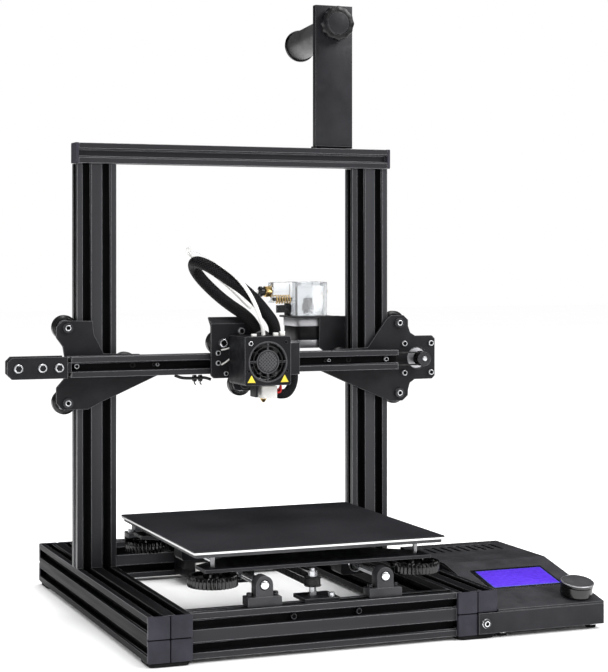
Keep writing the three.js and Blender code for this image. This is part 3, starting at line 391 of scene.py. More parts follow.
class Shape:
    """Closed shapes gathered into one mesh; each keeps the number of its material."""

    def __init__(self):
        self.mesh = bmesh.new()
        self.uv = self.mesh.loops.layers.uv.new("uv")

    def loft(self, rings, slot=0, loop=False, lengths=None, last_slot=None):
        """Skin over rings with the same count of points, capped unless the last ring meets the first."""
        rows = [[self.mesh.verts.new(p) for p in ring] for ring in rings]
        following = rows[1:] + rows[:1] if loop else rows[1:]
        count = len(rows[0])
        end_slot = slot if last_slot is None else last_slot
        for r, (low, high) in enumerate(zip(rows, following)):
            band_slot = end_slot if r == len(following) - 1 else slot
            for i in range(count):
                j = (i + 1) % count
                face = self.mesh.faces.new((low[i], low[j], high[j], high[i]))
                face.material_index = band_slot
                if lengths:
                    turn = (i / count, (i + 1) / count, (i + 1) / count, i / count)
                    run = (lengths[r], lengths[r], lengths[r + 1], lengths[r + 1])
                    for corner, u, v in zip(face.loops, turn, run):
                        corner[self.uv].uv = (u, v)
        if not loop:
            self.mesh.faces.new(rows[0]).material_index = slot
            self.mesh.faces.new(rows[-1]).material_index = end_slot

    def prism(self, outline, axis, low, high, slot=0):
        """Extrude an outline drawn in the two other machine axes, in millimetres."""
        place = "xyz".index(axis)

        def put(a, b, level):
            point = [a, b]
            point.insert(place, level)
            return at(*point)

        self.loft([[put(a, b, level) for a, b in outline] for level in (low, high)], slot)

    def lathe(self, profile, centre, axis, sides=32, slot=0, loop=False, dips=0):
        """Turn (radius, along) points, in millimetres, about an axis through the centre.

        A point's third number is how deep its circle dips, at as many places round it as dips says.
        """
        around = spokes(axis, sides)
        dents = [0.5 - 0.5 * cos(dips * t) for t in full_turn(sides)]
        rings = [[centre + (axis * h + spoke * (r - sum(depth) * dent)) * MM
                  for spoke, dent in zip(around, dents)] for r, h, *depth in profile]
        self.loft(rings, slot, loop)

    def tube(self, route, radius, sides=12, slot=0, loop=False):
        """A round section carried along a route without twisting."""
        normal = across((route[1] - route[0]).normalized())[0]
        rings, lengths, run = [], [], 0.0
        last = len(route) - 1
        for i, point in enumerate(route):
            way = (route[min(i + 1, last)] - route[max(i - 1, 0)]).normalized()
            normal = (normal - way * normal.dot(way)).normalized()
            side = way.cross(normal)
            run += (point - route[i - 1]).length if i else 0.0
            lengths.append(run)
            rings.append([point + (normal * cos(t) + side * sin(t)) * radius * MM
                          for t in full_turn(sides)])
        self.loft(rings, slot, loop, lengths + [run])

    def screw(self, centre, axis, radius, height, slot=0, socket=None):
        """A cap screw's head with a rounded rim and a hexagon socket, whose floor has its own slot."""
        around = spokes(axis, 12)

        def ring(r, h, six_sided=False):
            """Twelve points on a circle, or at the corners and the middles of the sides of a hexagon."""
            reach = (r, r * cos(pi / 6)) if six_sided else (r, r)
            return [centre + (axis * h + spoke * reach[i % 2]) * MM for i, spoke in enumerate(around)]

        # Callers mostly give the socket's floor near-black painted shade.
        self.loft([
            ring(radius, 0), ring(radius, height * 0.75), ring(radius * 0.88, height),
            ring(radius * 0.74, height, True), ring(radius * 0.7, height * 0.4, True),
        ], slot, last_slot=socket)

    def spring(self, centre, axis, radius, wire, length, turns, slot=0):
        """Wire of the given radius wound into a coil spring along an axis."""
        one, two = across(axis)
        steps = int(turns * 14)
        route = []
        for i in range(steps + 1):
            t = 2 * pi * turns * i / steps
            lift = axis * (wire + (length - 2 * wire) * i / steps)
            route.append(centre + (lift + (one * cos(t) + two * sin(t)) * radius) * MM)
        self.tube(route, wire, 8, slot)

    def thing(self, name, materials):
        """The gathered shapes as one object."""
        data = bpy.data.meshes.new(name)
        self.mesh.to_mesh(data)
        self.mesh.free()
        for material in materials:
            data.materials.append(material)
        return place_in_scene(name, data)

    def piece(self, name, body, materials, bevel=0.0, replaces=(), angle=32):
        """Make the object, round its sharp edges, and let it ride on a body."""
        bmesh.ops.recalc_face_normals(self.mesh, faces=self.mesh.faces)
        thing = self.thing(name, materials)
        if bevel:
            rounding = thing.modifiers.new("rounding", "BEVEL")
            rounding.width = bevel * MM
            rounding.segments = 2
            rounding.angle_limit = radians(angle)
            evaluated = thing.evaluated_get(bpy.context.evaluated_depsgraph_get())
            thing.data = bpy.data.meshes.new_from_object(evaluated)
            thing.modifiers.clear()
        thing.data.polygons.foreach_set("use_smooth", [True] * len(thing.data.polygons))
        thing.data.set_sharp_from_angle(angle=radians(angle))
        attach(thing, body)
        if replaces:
            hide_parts(*replaces)
        return thing


# -------- cords
# Diameters in metres, routes in machine millimetres. Both cords end in the machine.
SLEEVE_DIAMETER = 0.012
SLEEVE_ROUTE = [
    (187.8, 192.5, 275.3), (187.8, 192.5, 279.5), (186.8, 192.8, 285), (184, 193.6, 290.8),
    (178, 195, 298.9), (170.8, 196.5, 307.7), (162.2, 197.5, 316), (152.8, 198, 323.2),
    (143.2, 198, 329.4), (134.5, 198.3, 335), (125.5, 200, 341), (117.8, 205.5, 345.8),
    (113.6, 214.5, 347.6), (113.6, 224.5, 345.6), (117.5, 232.5, 339.6), (125, 236, 330.8),
    (134.5, 234.5, 320.8), (144.5, 230, 311), (153.8, 223.4, 302.8), (161.2, 215.6, 296.4),
    (167, 209.3, 289.8), (170.7, 206.1, 283.4), (172.6, 204.8, 277.6),
]
FEED_DIAMETER = 0.004
FEED_ROUTE = [
    (205.7, 290, 316), (202, 290, 316), (196.9, 288.8, 315.6), (191.7, 285.3, 314), (188.2, 280.1, 311.4),
    (187, 273.5, 307.8), (186.6, 264.5, 303.8), (185, 255, 301), (180.6, 246.6, 301.4),
    (172, 240.6, 307.4), (160.3, 238.6, 318.2), (147, 239.3, 329.5), (134, 240, 339.5),
    (121.5, 238.5, 349), (111, 231.5, 356.2), (105.8, 220.5, 359.8), (105.6, 208.5, 360.6),
    (111, 199, 358.2), (121, 194.2, 352), (132, 192.3, 344.6), (142.3, 190.9, 337), (151.5, 189.8, 328),
    (159.3, 188.8, 317.2), (165.5, 188.4, 305.8), (170.2, 188.6, 294), (173.4, 188.9, 283.6),
    (174.5, 189, 275),
]


def sleeve():
    """Braided sleeve round the hot end's and the fan's wires."""
    route = smooth_route(6, *SLEEVE_ROUTE)
    shape = Shape()
    shape.tube(route, SLEEVE_DIAMETER / MM / 2, 24)
    thing = shape.piece("braided_sleeve", "carriage", [braided], replaces=["harness"], angle=60)
    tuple(route[0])


def feed_tube():
    """Feed tube, which bends between the gantry and the carriage up to the start of its loop."""
    route = smooth_route(6, *FEED_ROUTE)
    shape = Shape()
    shape.tube(route, FEED_DIAMETER / MM / 2, 16)
    thing = shape.piece("filament_tube", "gantry", [white_tube], replaces=["feed_tube"], angle=60)
    thing.parent = None
    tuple(route[0])
    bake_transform(thing)
    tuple(route[0])


sleeve()
feed_tube()


# -------- finishes on the CAD nodes
def paint(node, materials, choose=None):
    """Give a CAD node its materials; choose picks one from a face's centre and direction."""
    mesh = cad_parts[node].data
    mesh.materials.clear()
    for material in materials:
        mesh.materials.append(material)
    origin = at(0, 0, 0)
    for face in mesh.polygons:
        face.material_index = choose((face.center - origin) / MM, face.normal) if choose else 0


def paint_profile(node, axis, extra=(), choose=None, top=None):
    """Anodised skin on a slotted profile, and painted shade, a near-black tone, on every face sunk below it.
    """
    low, high = extent(node)
    if top:
        high.z = top
    sides = [i for i in range(3) if "xyz"[i] != axis]

    def sunk(point, normal):
        picked = choose(point, normal) if choose else 0
        if picked:
            return picked + 1
        if abs(normal["xyz".index(axis)]) > 0.9:
            return 0
        near = min(min(point[i] - low[i], high[i] - point[i]) for i in sides)
        return int(near > 0.6)

    paint(node, [anodised[axis], painted_shade_black, *extra], sunk)


PROFILES = {
    "left_rail": "y", "right_rail": "y", "left_upright": "z", "right_upright": "z", "x_beam": "x",
    "rear_crossbeam": "x",
}
for name, axis in PROFILES.items():
    paint_profile(name, axis)
ONE_FINISH = {
    "gantry_plate_left": powder, "gantry_plate_right": powder, "belt_tensioner": powder,
    "extruder_mount": powder, "carriage_plate": powder, "case_tray": sheet_metal, "bed_carrier": sheet_metal,
    "bed_belt": belt_black, "x_belt": belt_black, "fan_cover": cover_plastic,
    "extruder_lever": black_plastic, "encoder_shaft": steel,
}
for name, material in ONE_FINISH.items():
    paint(name, [material])
BEAM_TOP = 44.0
IDLER_BRACKET_TOP = 47.2
paint_profile("front_crossbeam", "x", [powder, steel],
              lambda p, n: int(p.z > BEAM_TOP + 0.05) + int(p.z >= IDLER_BRACKET_TOP), top=BEAM_TOP)
BAR_ENDS = extent("top_bar")[0].x + 3, extent("top_bar")[1].x - 3
SLAB_BOTTOM = extent("heated_bed")[1].z - 2.9
paint("top_bar", [anodised["x"], cap_plastic], lambda p, n: int(not BAR_ENDS[0] < p.x < BAR_ENDS[1]))
# Up-facing faces of the lid get the lighter copy: painted sheen.
paint("case_lid", [sheet_metal, lid_top_painted_sheen], lambda p, n: int(n.z > 0.3))
paint("print_plate", [printing_surface(), plate_edge()], lambda p, n: int(n.z < 0.5))
paint("heated_bed", [heater_plate, zinc], lambda p, n: int(p.z < SLAB_BOTTOM))


# -------- base frame
def corner_cap(node):
    """Four square pads on the rail's end, and the rubber foot under it."""
    low, high = extent(node)
    thickness, groove, bottom = 4, 0.5, 4.0
    front = low.y < middle("left_rail").y
    y0, y1 = (low.y, low.y + thickness) if front else (high.y - thickness, high.y)
    sunk = (y0 + 1.2, y1) if front else (y0, y1 - 1.2)
    shape = Shape()
    # The sunk face behind the pads is near black: painted shade in the grooves between them.
    shape.prism(rounded(low.x + 0.4, high.x - 0.4, bottom + 0.4, high.z - 0.4, 1.2), "y", *sunk, 2)
    half = (high.x - low.x) / 2
    for x in (low.x, low.x + half + groove):
        for z in (bottom, bottom + half + groove):
            shape.prism(rounded(x, x + half - groove, z, z + half - groove, 1.0), "y", y0, y1)
    shape.prism(rounded(low.x + 2, high.x - 2, low.y + 1.5, high.y - 0.2, 5), "z", 0.0, bottom - 0.3, 1)
    shape.piece(f"{node}_moulding", "frame", [cap_plastic, rubber, painted_shade_black], bevel=0.35,
                replaces=[node])


CORNERS = [f"{end}_{side}" for end in ("front", "rear") for side in ("left", "right")]
for name in CORNERS:
    corner_cap(f"corner_{name}")


ROD_Z = 63.0
ROD_R = 4.0
SEAT_Z = 44.3
CLAMP_FOOT_Z = 52.5


def clamp(shape, x, y0, y1, slot, screw_y, screw_slots):
    """A rod clamp on a crossbeam: foot, round-topped head, and its two screws."""
    neck = 8.0
    shape.prism(rounded(x - 16, x + 16, SEAT_Z, CLAMP_FOOT_Z, 1.0), "y", y0, y1, slot)
    head = arc((x, ROD_Z), neck, 0, pi, 14)
    head += [(x - neck, CLAMP_FOOT_Z - 1), (x + neck, CLAMP_FOOT_Z - 1)]
    shape.prism(head, "y", y0 + 1, y1 - 1, slot)
    for dx in (-12, 12):
        shape.screw(at(x + dx, screw_y, CLAMP_FOOT_Z - 0.1), Z, 3.0, 3.6, *screw_slots)


def guide_rod(side):
    """A chromed rod with its front clamp."""
    low, high = extent(f"guide_rod_{side}")
    x = (low.x + high.x) / 2
    shape = Shape()
    ends = [(ROD_R - 0.7, low.y), (ROD_R, low.y + 0.7), (ROD_R, high.y - 0.7), (ROD_R - 0.7, high.y)]
    shape.lathe(ends, at(x, 0, ROD_Z), Y, 32)
    clamp(shape, x, low.y + 0.6, low.y + 15.6, 1, low.y + 8, (2, 3))
    # Near-black ring round the rod at the clamp's face: painted shade in the gap.
    shape.lathe(washer(4.1, 5.0, 0, 0.4), at(x, low.y + 1.3, ROD_Z), Y, 28, 3, loop=True)
    shape.piece(f"rod_{side}", "frame", [chrome, grey_casting, dark_steel, painted_shade_black], bevel=0.3,
                replaces=[f"guide_rod_{side}"])


guide_rod("left")
guide_rod("right")


MOTOR_HALF = 21.0
MOTOR_SCREWS = 15.5


def motor(shape, axis, a, b, low, high, band, coats=(0, 1)):
    """A stepper's stack: two end plates, and the laminations between them a little sunk."""
    def layer(sunk, corner, start, end, slot):
        reach = MOTOR_HALF - sunk
        shape.prism(rounded(a - reach, a + reach, b - reach, b + reach, corner, 3), axis, start, end, slot)

    layer(0, 4.5, low, low + band, coats[0])
    layer(0.4, 5.7, low + band, high - band, coats[1])
    layer(0, 4.5, high - band, high, coats[0])


def bed_motor():
    """The bed's motor under its bracket, its pulley, and the rods' rear clamps."""
    low, high = extent("bed_motor")
    x, y = middle("bed_belt").x, extent("bed_belt")[1].y - 7.1
    clamp_y, bracket_top = 392, 47
    shape = Shape()
    shape.prism(rounded(low.x, high.x, clamp_y, high.y, 2), "z", SEAT_Z, bracket_top, 2)
    shape.prism(rounded(x - 22, x + 22, y - 22, clamp_y + 4, 3), "z", SEAT_Z, bracket_top, 2)
    motor(shape, "z", x, y, low.z, SEAT_Z - 0.1, 8, (1, 1))
    shape.prism(rounded(x - 9, x + 9, y - 27, y - 20, 1), "z", 14, 24, 4)
    pulley = [(7.9, 49), (7.9, 55.9), (5.4, 56), (5.4, 62), (7.9, 62.1), (7.9, 63.2)]
    shape.lathe(pulley + [(2.4, 63.2), (2.4, 65.1)], at(x, y, 0), Z, 28, 3)
    for rod_x in (low.x + 16, high.x - 16):
        clamp(shape, rod_x, clamp_y, high.y, 5, clamp_y + 6.5, (3,))
    shape.piece("bed_drive", "frame", [aluminium, motor_black, powder, steel, silicone, grey_casting],
                bevel=0.35, replaces=["bed_motor"])


bed_motor()


def crossbeam_screws():
    """Two cap screws sunk in the front crossbeam's upper slot."""
    shape = Shape()
    for x in (136, 199):
        shape.screw(at(x, 8.2, 34), -Y, 2.9, 2.6, 0, 1)
    shape.piece("crossbeam_screws", "frame", [dark_steel, painted_shade_black])


crossbeam_screws()


def bearing_rings():
    """The bright shells and dark seals of the linear bearings that carry the bed."""
    shell = [(4.6, 0), (7.6, 0), (7.6, 0.7), (7.0, 1.0), (4.6, 1.0)]
    seal = washer(4.7, 6.3, 1.05, 1.15)
    shape = Shape()
    for rod_x in (109.5, 226.5):
        for y in (78.0, 205.0):
            for face, way in ((y + 0.1, -1), (y + 23.9, 1)):
                for slot, profile in enumerate((shell, seal)):
                    shape.lathe([(r, h * way) for r, h in profile], at(rod_x, face, ROD_Z), Y, 28, slot,
                                loop=True)
    shape.piece("bearing_rings", "bed", [chrome, rubber])


bearing_rings()


def level_knob(node):
    """A thumb wheel with rounded ribs round its rim, a dished top and a bright nut."""
    low, high = extent(node)
    centre = (low + high) / 2
    ribs = 36
    edge = low.z + 10
    shape = Shape()
    shape.lathe([
        (19.0, low.z), (22.2, low.z, 1.2), (22.9, low.z + 0.8, 1.5), (22.9, edge - 0.8, 1.5),
        (22.2, edge, 1.2), (18.5, edge), (17.5, edge - 1.6), (8.5, edge - 1.6), (7.2, high.z),
        (2.6, high.z), (2.6, low.z),
    ], at(centre.x, centre.y, 0), Z, ribs * 8, loop=True, dips=ribs)
    nut = [(centre.x + 4.0 * cos(t), centre.y + 4.0 * sin(t)) for t in full_turn(6)]
    shape.prism(nut, "z", low.z - 1.2, low.z + 0.3, 1)
    shape.piece(f"{node}_wheel", node, [knob_black, steel], replaces=[node])


for name in CORNERS:
    level_knob(f"level_knob_{name}")


# -------- wheels, idlers and pulleys
def v_wheel(node):
    """Wheel with bevelled tread, its bearing's race and shield in each face."""
    half, radius = 5.1, 12.2
    tread = mirrored([(8.1, -half), (radius - 2.2, -half), (radius, -2.9)])
    tread += mirrored([(8.1, 4.2), (7.6, 3.9)])
    race = mirrored([(2.7, -4.4), (4.0, -4.4), (4.2, -4.1), (6.6, -4.1), (6.8, -4.5), (7.7, -4.5)])
    shape = Shape()
    place = at(*middle(node))
    shape.lathe(tread, place, Y, 48, loop=True)
    shape.lathe(race, place, Y, 40, 1, loop=True)
    shape.piece(f"{node}_tyre", node, [wheel_plastic, steel], replaces=[node])


WHEELS = [f"gantry_wheel_{side}_{row}" for side in ("left", "right") for row in ("upper", "lower", "inner")]
for name in WHEELS + ["carriage_wheel_left", "carriage_wheel_right", "carriage_wheel_lower"]:
    v_wheel(name)


def toothed_pulley(node, name, axis, material, hub=False):
    """Flanged pulley whose twenty teeth show between the flanges, on a hub if it sits on a motor."""
    low, high = extent(node)
    centre = (low + high) / 2
    upright = axis == Z
    near, far = (low.z, high.z) if upright else (low.y, high.y)
    base = at(centre.x, centre.y, 0) if upright else at(centre.x, 0, centre.z)
    groove = far - 7.2 if hub else near + 1
    root = 5.0
    shape = Shape()
    shape.lathe([(2.8, near), (7.4, near), (7.9, near + 0.5), (7.9, groove), (root, groove + 0.2),
                 (root, far - 1.2), (7.9, far - 1), (7.9, far - 0.4), (7.4, far), (2.8, far)],
                base, axis, 36, loop=True)
    for spoke in spokes(axis, 20):
        shape.lathe([(0.42, groove), (0.42, far - 1)], base + spoke * root * MM, axis, 8)
    shape.piece(name, node, [material], replaces=[node])


toothed_pulley("x_idler", "x_idler_wheel", Y, black_plastic)
toothed_pulley("x_pulley", "x_pulley_wheel", Y, dark_steel, hub=True)
toothed_pulley("bed_belt_idler", "bed_idler_wheel", Z, black_plastic)


# -------- gantry
PLATE_FRONT = extent("gantry_plate_left")[0].y + 0.1
BELT_Z = 245.5
SLOT_Z = 246
SLOT_FLOOR = 228.1


def gantry_screws():
    """Screws of the wheels, the motor, the beam's slot and the belt tensioner."""
    shape = Shape()
    for x in (-11, 347):
        for z in (283, 209):
            shape.lathe(washer(2.9, 5.0, 0, 0.7), at(x, PLATE_FRONT, z), -Y, 28, 1, loop=True)
            shape.screw(at(x, PLATE_FRONT, z), -Y, 3.0, 0.75, 0, 3)
    for x, z in corners(368.3, BELT_Z, MOTOR_SCREWS):
        shape.screw(at(x, 240.4, z), -Y, 3.0, 1.0, 0, 3)
    for x in (-5.9, 325.2):
        shape.screw(at(x, SLOT_FLOOR, SLOT_Z), -Y, 2.6, 2.4, 0, 3)
    for x in (74.4, 258.6):
        for dx, slot in ((-2, 1), (2, 0)):
            shape.screw(at(x + dx, SLOT_FLOOR, SLOT_Z), -Y, 1.8, 1.6, slot, 3)
    # Dark rubber rings in the slot stand for the shade of two holes: painted shade.
    for x in (51, 283):
        shape.lathe(washer(1.6, 2.9, 0, 0.4), at(x, SLOT_FLOOR + 0.05, SLOT_Z), -Y, 20, 2, loop=True)
    for x in (-65, -41.5, -25):
        shape.screw(at(x, 219.1, BELT_Z), -Y, 4.4, 2.9, 0, 3)
    shape.piece("gantry_screws", "gantry", [steel, dark_steel, rubber, painted_shade_black])


gantry_screws()


def x_motor():
    """The belt's motor behind the right plate, with its shaft, plug and rear screws."""
    low, high = extent("x_motor")
    x, z = (low.x + high.x) / 2, BELT_Z
    back = high.y - 0.05
    shape = Shape()
    motor(shape, "y", x, z, 245.3, high.y, 8.5)
    shape.lathe([(11, 243.4), (11, 245.5)], at(x, 0, z), Y, 40)
    shape.lathe([(2.1, low.y), (2.5, low.y + 0.4), (2.5, 244)], at(x, 0, z), Y, 20, 2)
    shape.prism(rounded(x - 8, x + 8, 219.6, 225, 0.8), "y", high.y - 12, high.y - 2, 3)
    for screw_x, screw_z in corners(x, z, MOTOR_SCREWS):
        shape.lathe([(3.4, 0), (3.4, 0.1)], at(screw_x, back, screw_z), Y, 24, 1)
        shape.screw(at(screw_x, back - 0.25, screw_z), Y, 2.6, 0.5, 2, 1)
    shape.lathe([(8.5, 0), (8.5, 0.1)], at(x, back, z), Y, 36, 1)
    shape.lathe([(2.4, 0), (2.4, 0.15)], at(x, back, z), Y, 24, 2)
    shape.piece("x_motor_body", "gantry", [aluminium, motor_black, steel, silicone], bevel=0.4,
                replaces=["x_motor"])


x_motor()


def extruder_motor():
    """The extruder's motor, its pilot ring and its shaft."""
    low, high = extent("extruder_motor")
    x, y = (low.x + high.x) / 2, (low.y + high.y) / 2
    shape = Shape()
    motor(shape, "z", x, y, low.z, 288, 8.5)
    shape.lathe([(11, 287.9), (11, 290)], at(x, y, 0), Z, 36)
    shape.lathe([(2.5, 289), (2.5, 313.4), (2.1, 313.9)], at(x, y, 0), Z, 20, 2)
    shape.piece("extruder_motor_body", "gantry", [aluminium, motor_black, steel], bevel=0.4,
                replaces=["extruder_motor"])


extruder_motor()


def drive_gear():
    """Hobbed drive gear: a band of fine teeth between two plain collars."""
    low, high = extent("drive_gear")
    centre = (low + high) / 2
    teeth, start, end = 26, 299, 306
    shape = Shape()
    shape.lathe([
        (2.8, low.z), (5, low.z), (5, start), (6.1, start + 0.2, 0.6), (6.1, end - 0.2, 0.6), (5, end),
        (5, high.z), (2.8, high.z),
    ], at(centre.x, centre.y, 0), Z, teeth * 4, loop=True, dips=teeth)
    shape.piece("hobbed_gear", "drive_gear", [dark_steel], replaces=["drive_gear"])


drive_gear()


def extruder_body():
    """Clear moulded housing with the guide arm, the spring and the brass and black fittings."""
    low, high = extent("extruder_body")
    x0, y0, side, deck, top = 242.0, 272.0, 36, low.z, high.z

    def wall(inset, corner, z):
        outline = rounded(x0 + inset, x0 + side - inset, y0 + inset, y0 + side - inset, corner)
        return [at(a, b, z) for a, b in outline]

    shape = Shape()
    shape.loft([
        wall(0, 3.5, deck), wall(0, 3.5, top - 0.6), wall(0, 3.5, top), wall(7, 2, top),
        wall(7, 2, top - 3), wall(3, 2, top - 3), wall(3, 2, deck),
    ], loop=True)
    shape.prism(rounded(x0 - 22, x0 - 0.2, 281, 299, 1.5), "z", 304, top - 0.3)
    shape.piece("extruder_housing", "gantry", [clear_plastic()], bevel=0.5,
                replaces=["extruder_body"])
    parts = Shape()
    filament = at(0, 290.0, 316.0)
    parts.lathe([(2.1, 206.3), (4.2, 206.3), (5.6, 207), (5.6, 209.6), (4.4, 209.9), (4.4, 212.6),
                 (2.1, 212.6)], filament, X, 28, loop=True)
    parts.lathe([(6.0, 212.6), (6.4, 213.1), (6.4, 219.3), (6.0, 219.8)], filament, X, 6, 1)
    parts.lathe(washer(1.2, 2.3, 279, 283.9), filament, X, 20, 1, loop=True)
    parts.spring(at(221, 283, 308), X, 4.3, 0.75, 19, 6, 1)
    parts.lathe([(2.0, 220), (2.0, 241)], at(0, 283, 308), X, 16, 3)
    for x, y in corners(x0 + side / 2, y0 + side / 2, 13.8):
        parts.screw(at(x, y, top - 2.6), Z, 2.2, 2.5, 2, 3)
    parts.piece("extruder_fittings", "gantry", [black_plastic, brass, steel, painted_shade_black], bevel=0.2)


extruder_body()


def lead_screw():
    """A trapezoidal thread wound on its core, above a slit clamp coupling."""
    low, high = extent("lead_screw")
    centre = (low + high) / 2
    shape = Shape()
    core, crest, pitch = 3.3, 3.95, 2.0
    coupling_top = 109
    sides, levels = 12, int((high.z - coupling_top - 1) / pitch * 4)
    rings = []
    for i in range(levels + 1):
        z = coupling_top + (high.z - coupling_top - 0.05) * i / levels
        rings.append([])
        for t in full_turn(sides):
            r = core + (crest - core) * (0.5 + 0.5 * cos(2 * pi * z / pitch - t))
            rings[-1].append(at(centre.x + r * cos(t), centre.y + r * sin(t), z))
    shape.loft(rings)
    outer, cut = 9.4, 8.2
    coupling = [(outer, low.z)]
    for z in (92, 95.5, 99, 102.5):
        coupling += [(outer, z), (cut, z), (cut, z + 0.9), (outer, z + 0.9)]
    coupling += [(outer, coupling_top + 0.2), (outer - 0.5, coupling_top + 0.9)]
    shape.lathe(coupling, at(centre.x, centre.y, 0), Z, 32, 1)
    shape.piece("threaded_screw", "lead_screw", [steel, aluminium], replaces=["lead_screw"])


lead_screw()


def z_motor():
    """The lead screw's motor on its mounting plate, with its plug and wires."""
    low, high = extent("z_motor")
    x, y = 316.0, (low.y + high.y) / 2
    plate_top = 46.2
    shape = Shape()
    shape.prism(rounded(x - 19, x + 19, low.y + 1, high.y - 1, 2), "z", SEAT_Z, plate_top, 2)
    motor(shape, "z", x, y, plate_top, high.z, 8)
    shape.prism(rounded(x + MOTOR_HALF, high.x, y - 8, y + 8, 0.8), "z", 70, 80, 3)
    for i in range(4):
        plug_x, plug_y = high.x - 2, y - 4.5 + 3 * i
        route = smooth_route(5, (plug_x, plug_y, 75), (plug_x + 6, plug_y, 74), (plug_x + 9, plug_y + 2, 63),
                             (plug_x + 3, plug_y + 3, 51))
        shape.tube(route, 0.8, 8, (4, 1)[i % 2])
    shape.piece("z_motor_body", "frame", [aluminium, motor_black, powder, black_plastic, red_wire],
                bevel=0.4, replaces=["z_motor"])


z_motor()


# -------- carriage
def carriage_details():
    """Screw heads, pale belt ties, and a thin wire held by two zip ties."""
    shape = Shape()
    heads = (
        (160, 212.6, 278.5, 3.4), (141, 212.4, 266.5, 4.2), (135.5, 213.4, 256.8, 2.6),
        (135.5, 213.4, 246.8, 2.6), (144.2, 215, 236, 2.4),
    )
    for x, front, z, radius in heads:
        shape.screw(at(x, front + 0.1, z), -Y, radius, 0.9, 0, 3)
    for x0, z0, x1, z1 in ((138.6, 259.8, 147, 261.6), (138.8, 245, 147.6, 250.6)):
        crest = at((x0 + x1) / 2, 212.6, (z0 + z1) / 2)
        shape.tube([at(x0, 213.6, z0), crest, at(x1, 213.6, z1)], 0.8, 10, 4)
    for x in (116.5, 122.5):
        shape.lathe(washer(2.0, 3.4, -1.6, 1.6), at(x, 232, 231), X, 16, 2, loop=True)
        shape.tube([at(x, 230, 229), at(x - 1, 229.6, 226.5), at(x + 0.5, 229.4, 224.6)], 0.7, 8, 2)
    route = smooth_route(6, (133, 229, 229.5), (126, 231, 231.4), (116, 232, 231), (104, 232, 231.6),
                         (96, 232, 234.2))
    shape.tube(route, 1.5, 12, 2)
    shape.piece("carriage_details", "carriage", [steel, dark_steel, zip_tie, painted_shade_black, silicone])


carriage_details()


def fan_cover_details():
    """Fan guard's rings and ribbed hub, duct behind it, screws, wire plugs and two plain yellow markers."""
    low, high = extent("fan_cover")
    x0, x1 = low.x, low.x + 48
    x, z, face, top = (x0 + x1) / 2, 250.0, low.y, high.z
    shape = Shape()
    front = at(x, face + 0.05, z)
    shape.lathe([(18.8, 0), (20.4, 0), (20.1, 0.5), (19.1, 0.5)], front, -Y, 64, 5, loop=True)
    shape.lathe([(10.4, 0), (11.8, 0), (11.6, 0.4), (10.6, 0.4)], front, -Y, 48, 5, loop=True)
    shape.lathe([(14.6, 0.9), (15.6, 0.9), (15.4, 1.3), (14.8, 1.3)], at(x, face + 0.9, z), -Y, 56, 0,
                loop=True)
    shape.lathe([(9.6, 0), (9.6, 0.25), (8.8, 0.4)], front, -Y, 40, 1)
    hub, spacing = 9.0, 2.4
    for step in range(-3, 4):
        reach = sqrt(hub ** 2 - (spacing * step) ** 2)
        for lean in (1, -1):
            along, aside = Vector((1, 0, lean)) / sqrt(2), Vector((-lean, 0, 1)) / sqrt(2)
            rib = [at(x, face - 0.15, z) + (aside * spacing * step + along * reach * end) * MM
                   for end in (-1, 1)]
            shape.tube(rib, 0.3, 6, 5)
    shape.screw(at(x0 + 6, face + 0.1, 268.2), -Y, 2.4, 1.2, 2, 6)
    for screw_x, screw_z in ((x1 - 5.2, 269.0), (x0 + 4, 241), (x1 - 4, 241)):
        shape.screw(at(screw_x, face + 0.1, screw_z), -Y, 1.7, 0.7, 3, 6)
    plugs = ((157.5, 170, 2.4), (181.5, 173, 3.2), (189.5, 176, 4.4), (189.5, 206.5, 4.4))
    for plug_x, plug_y, height in plugs:
        outline = rounded(plug_x - 2.4, plug_x + 2.4, plug_y - 1.8, plug_y + 1.8, 0.5)
        shape.prism(outline, "z", top, top + height, 7)
    shape.lathe(washer(18.4, 20.6, 1.6, 12), at(x, face, z), Y, 48, loop=True)
    shape.prism(rounded(x0 + 3, x1 - 3, low.z + 0.5, low.z + 14, 1), "y", high.y + 0.5, high.y + 2.6, 6)
    for centre in (x0 + 6.8, x1 - 6.6):
        triangle = [(centre - 4.2, 229.8), (centre + 4.2, 229.8), (centre, 237.2)]
        shape.prism(triangle, "y", face - 0.25, face + 0.05, 4)
    yellow = finish("yellow_marker", (0.75, 0.6, 0.04), 0.45, grain=900, bump=0.05, tint=0.05)
    # Lighter grey for the guard's rings and hub ribs: painted highlight.
    painted_guard_highlight = finish("painted_guard_highlight", (0.045, 0.045, 0.05), 0.4, grain=1500, bump=0.1)
    shape.piece("fan_guard", "carriage",
                [black_plastic, sheet_metal, chrome, dark_steel, yellow, painted_guard_highlight, painted_shade_black, silicone],
                bevel=0.12)


fan_cover_details()


def fan_rotor():
    """Hub with seven swept, twisted blades."""
    low, high = extent("fan_rotor")
    centre = (low + high) / 2
    y0, y1 = low.y, high.y
    shape = Shape()
    shape.lathe([(8.6, y0), (9.4, y0 + 0.6), (9.4, y1)], at(centre.x, 0, centre.z), Y, 36)

    def section(turn, out):
        """A blade's section; out runs from 0 at the hub to 1 at the tip."""
        r = 9.0 + 8.3 * out
        lead = 4.3 - 0.5 * out
        spread = 0.36 + 0.04 * out
        lines = ((-spread, -lead + 0.4), (0, -0.2), (spread, lead - 0.5), (spread, lead), (0, 0.5),
                 (-spread, -lead + 0.9))
        points = [(turn + 0.25 * out + sweep, depth) for sweep, depth in lines]
        return [at(centre.x + r * cos(a), (y0 + y1) / 2 + depth, centre.z + r * sin(a))
                for a, depth in points]

    for turn in full_turn(7):
        shape.loft([section(turn, i / 6) for i in range(7)])
    shape.piece("fan_blades", "fan_rotor", [black_plastic], replaces=["fan_rotor"])


fan_rotor()


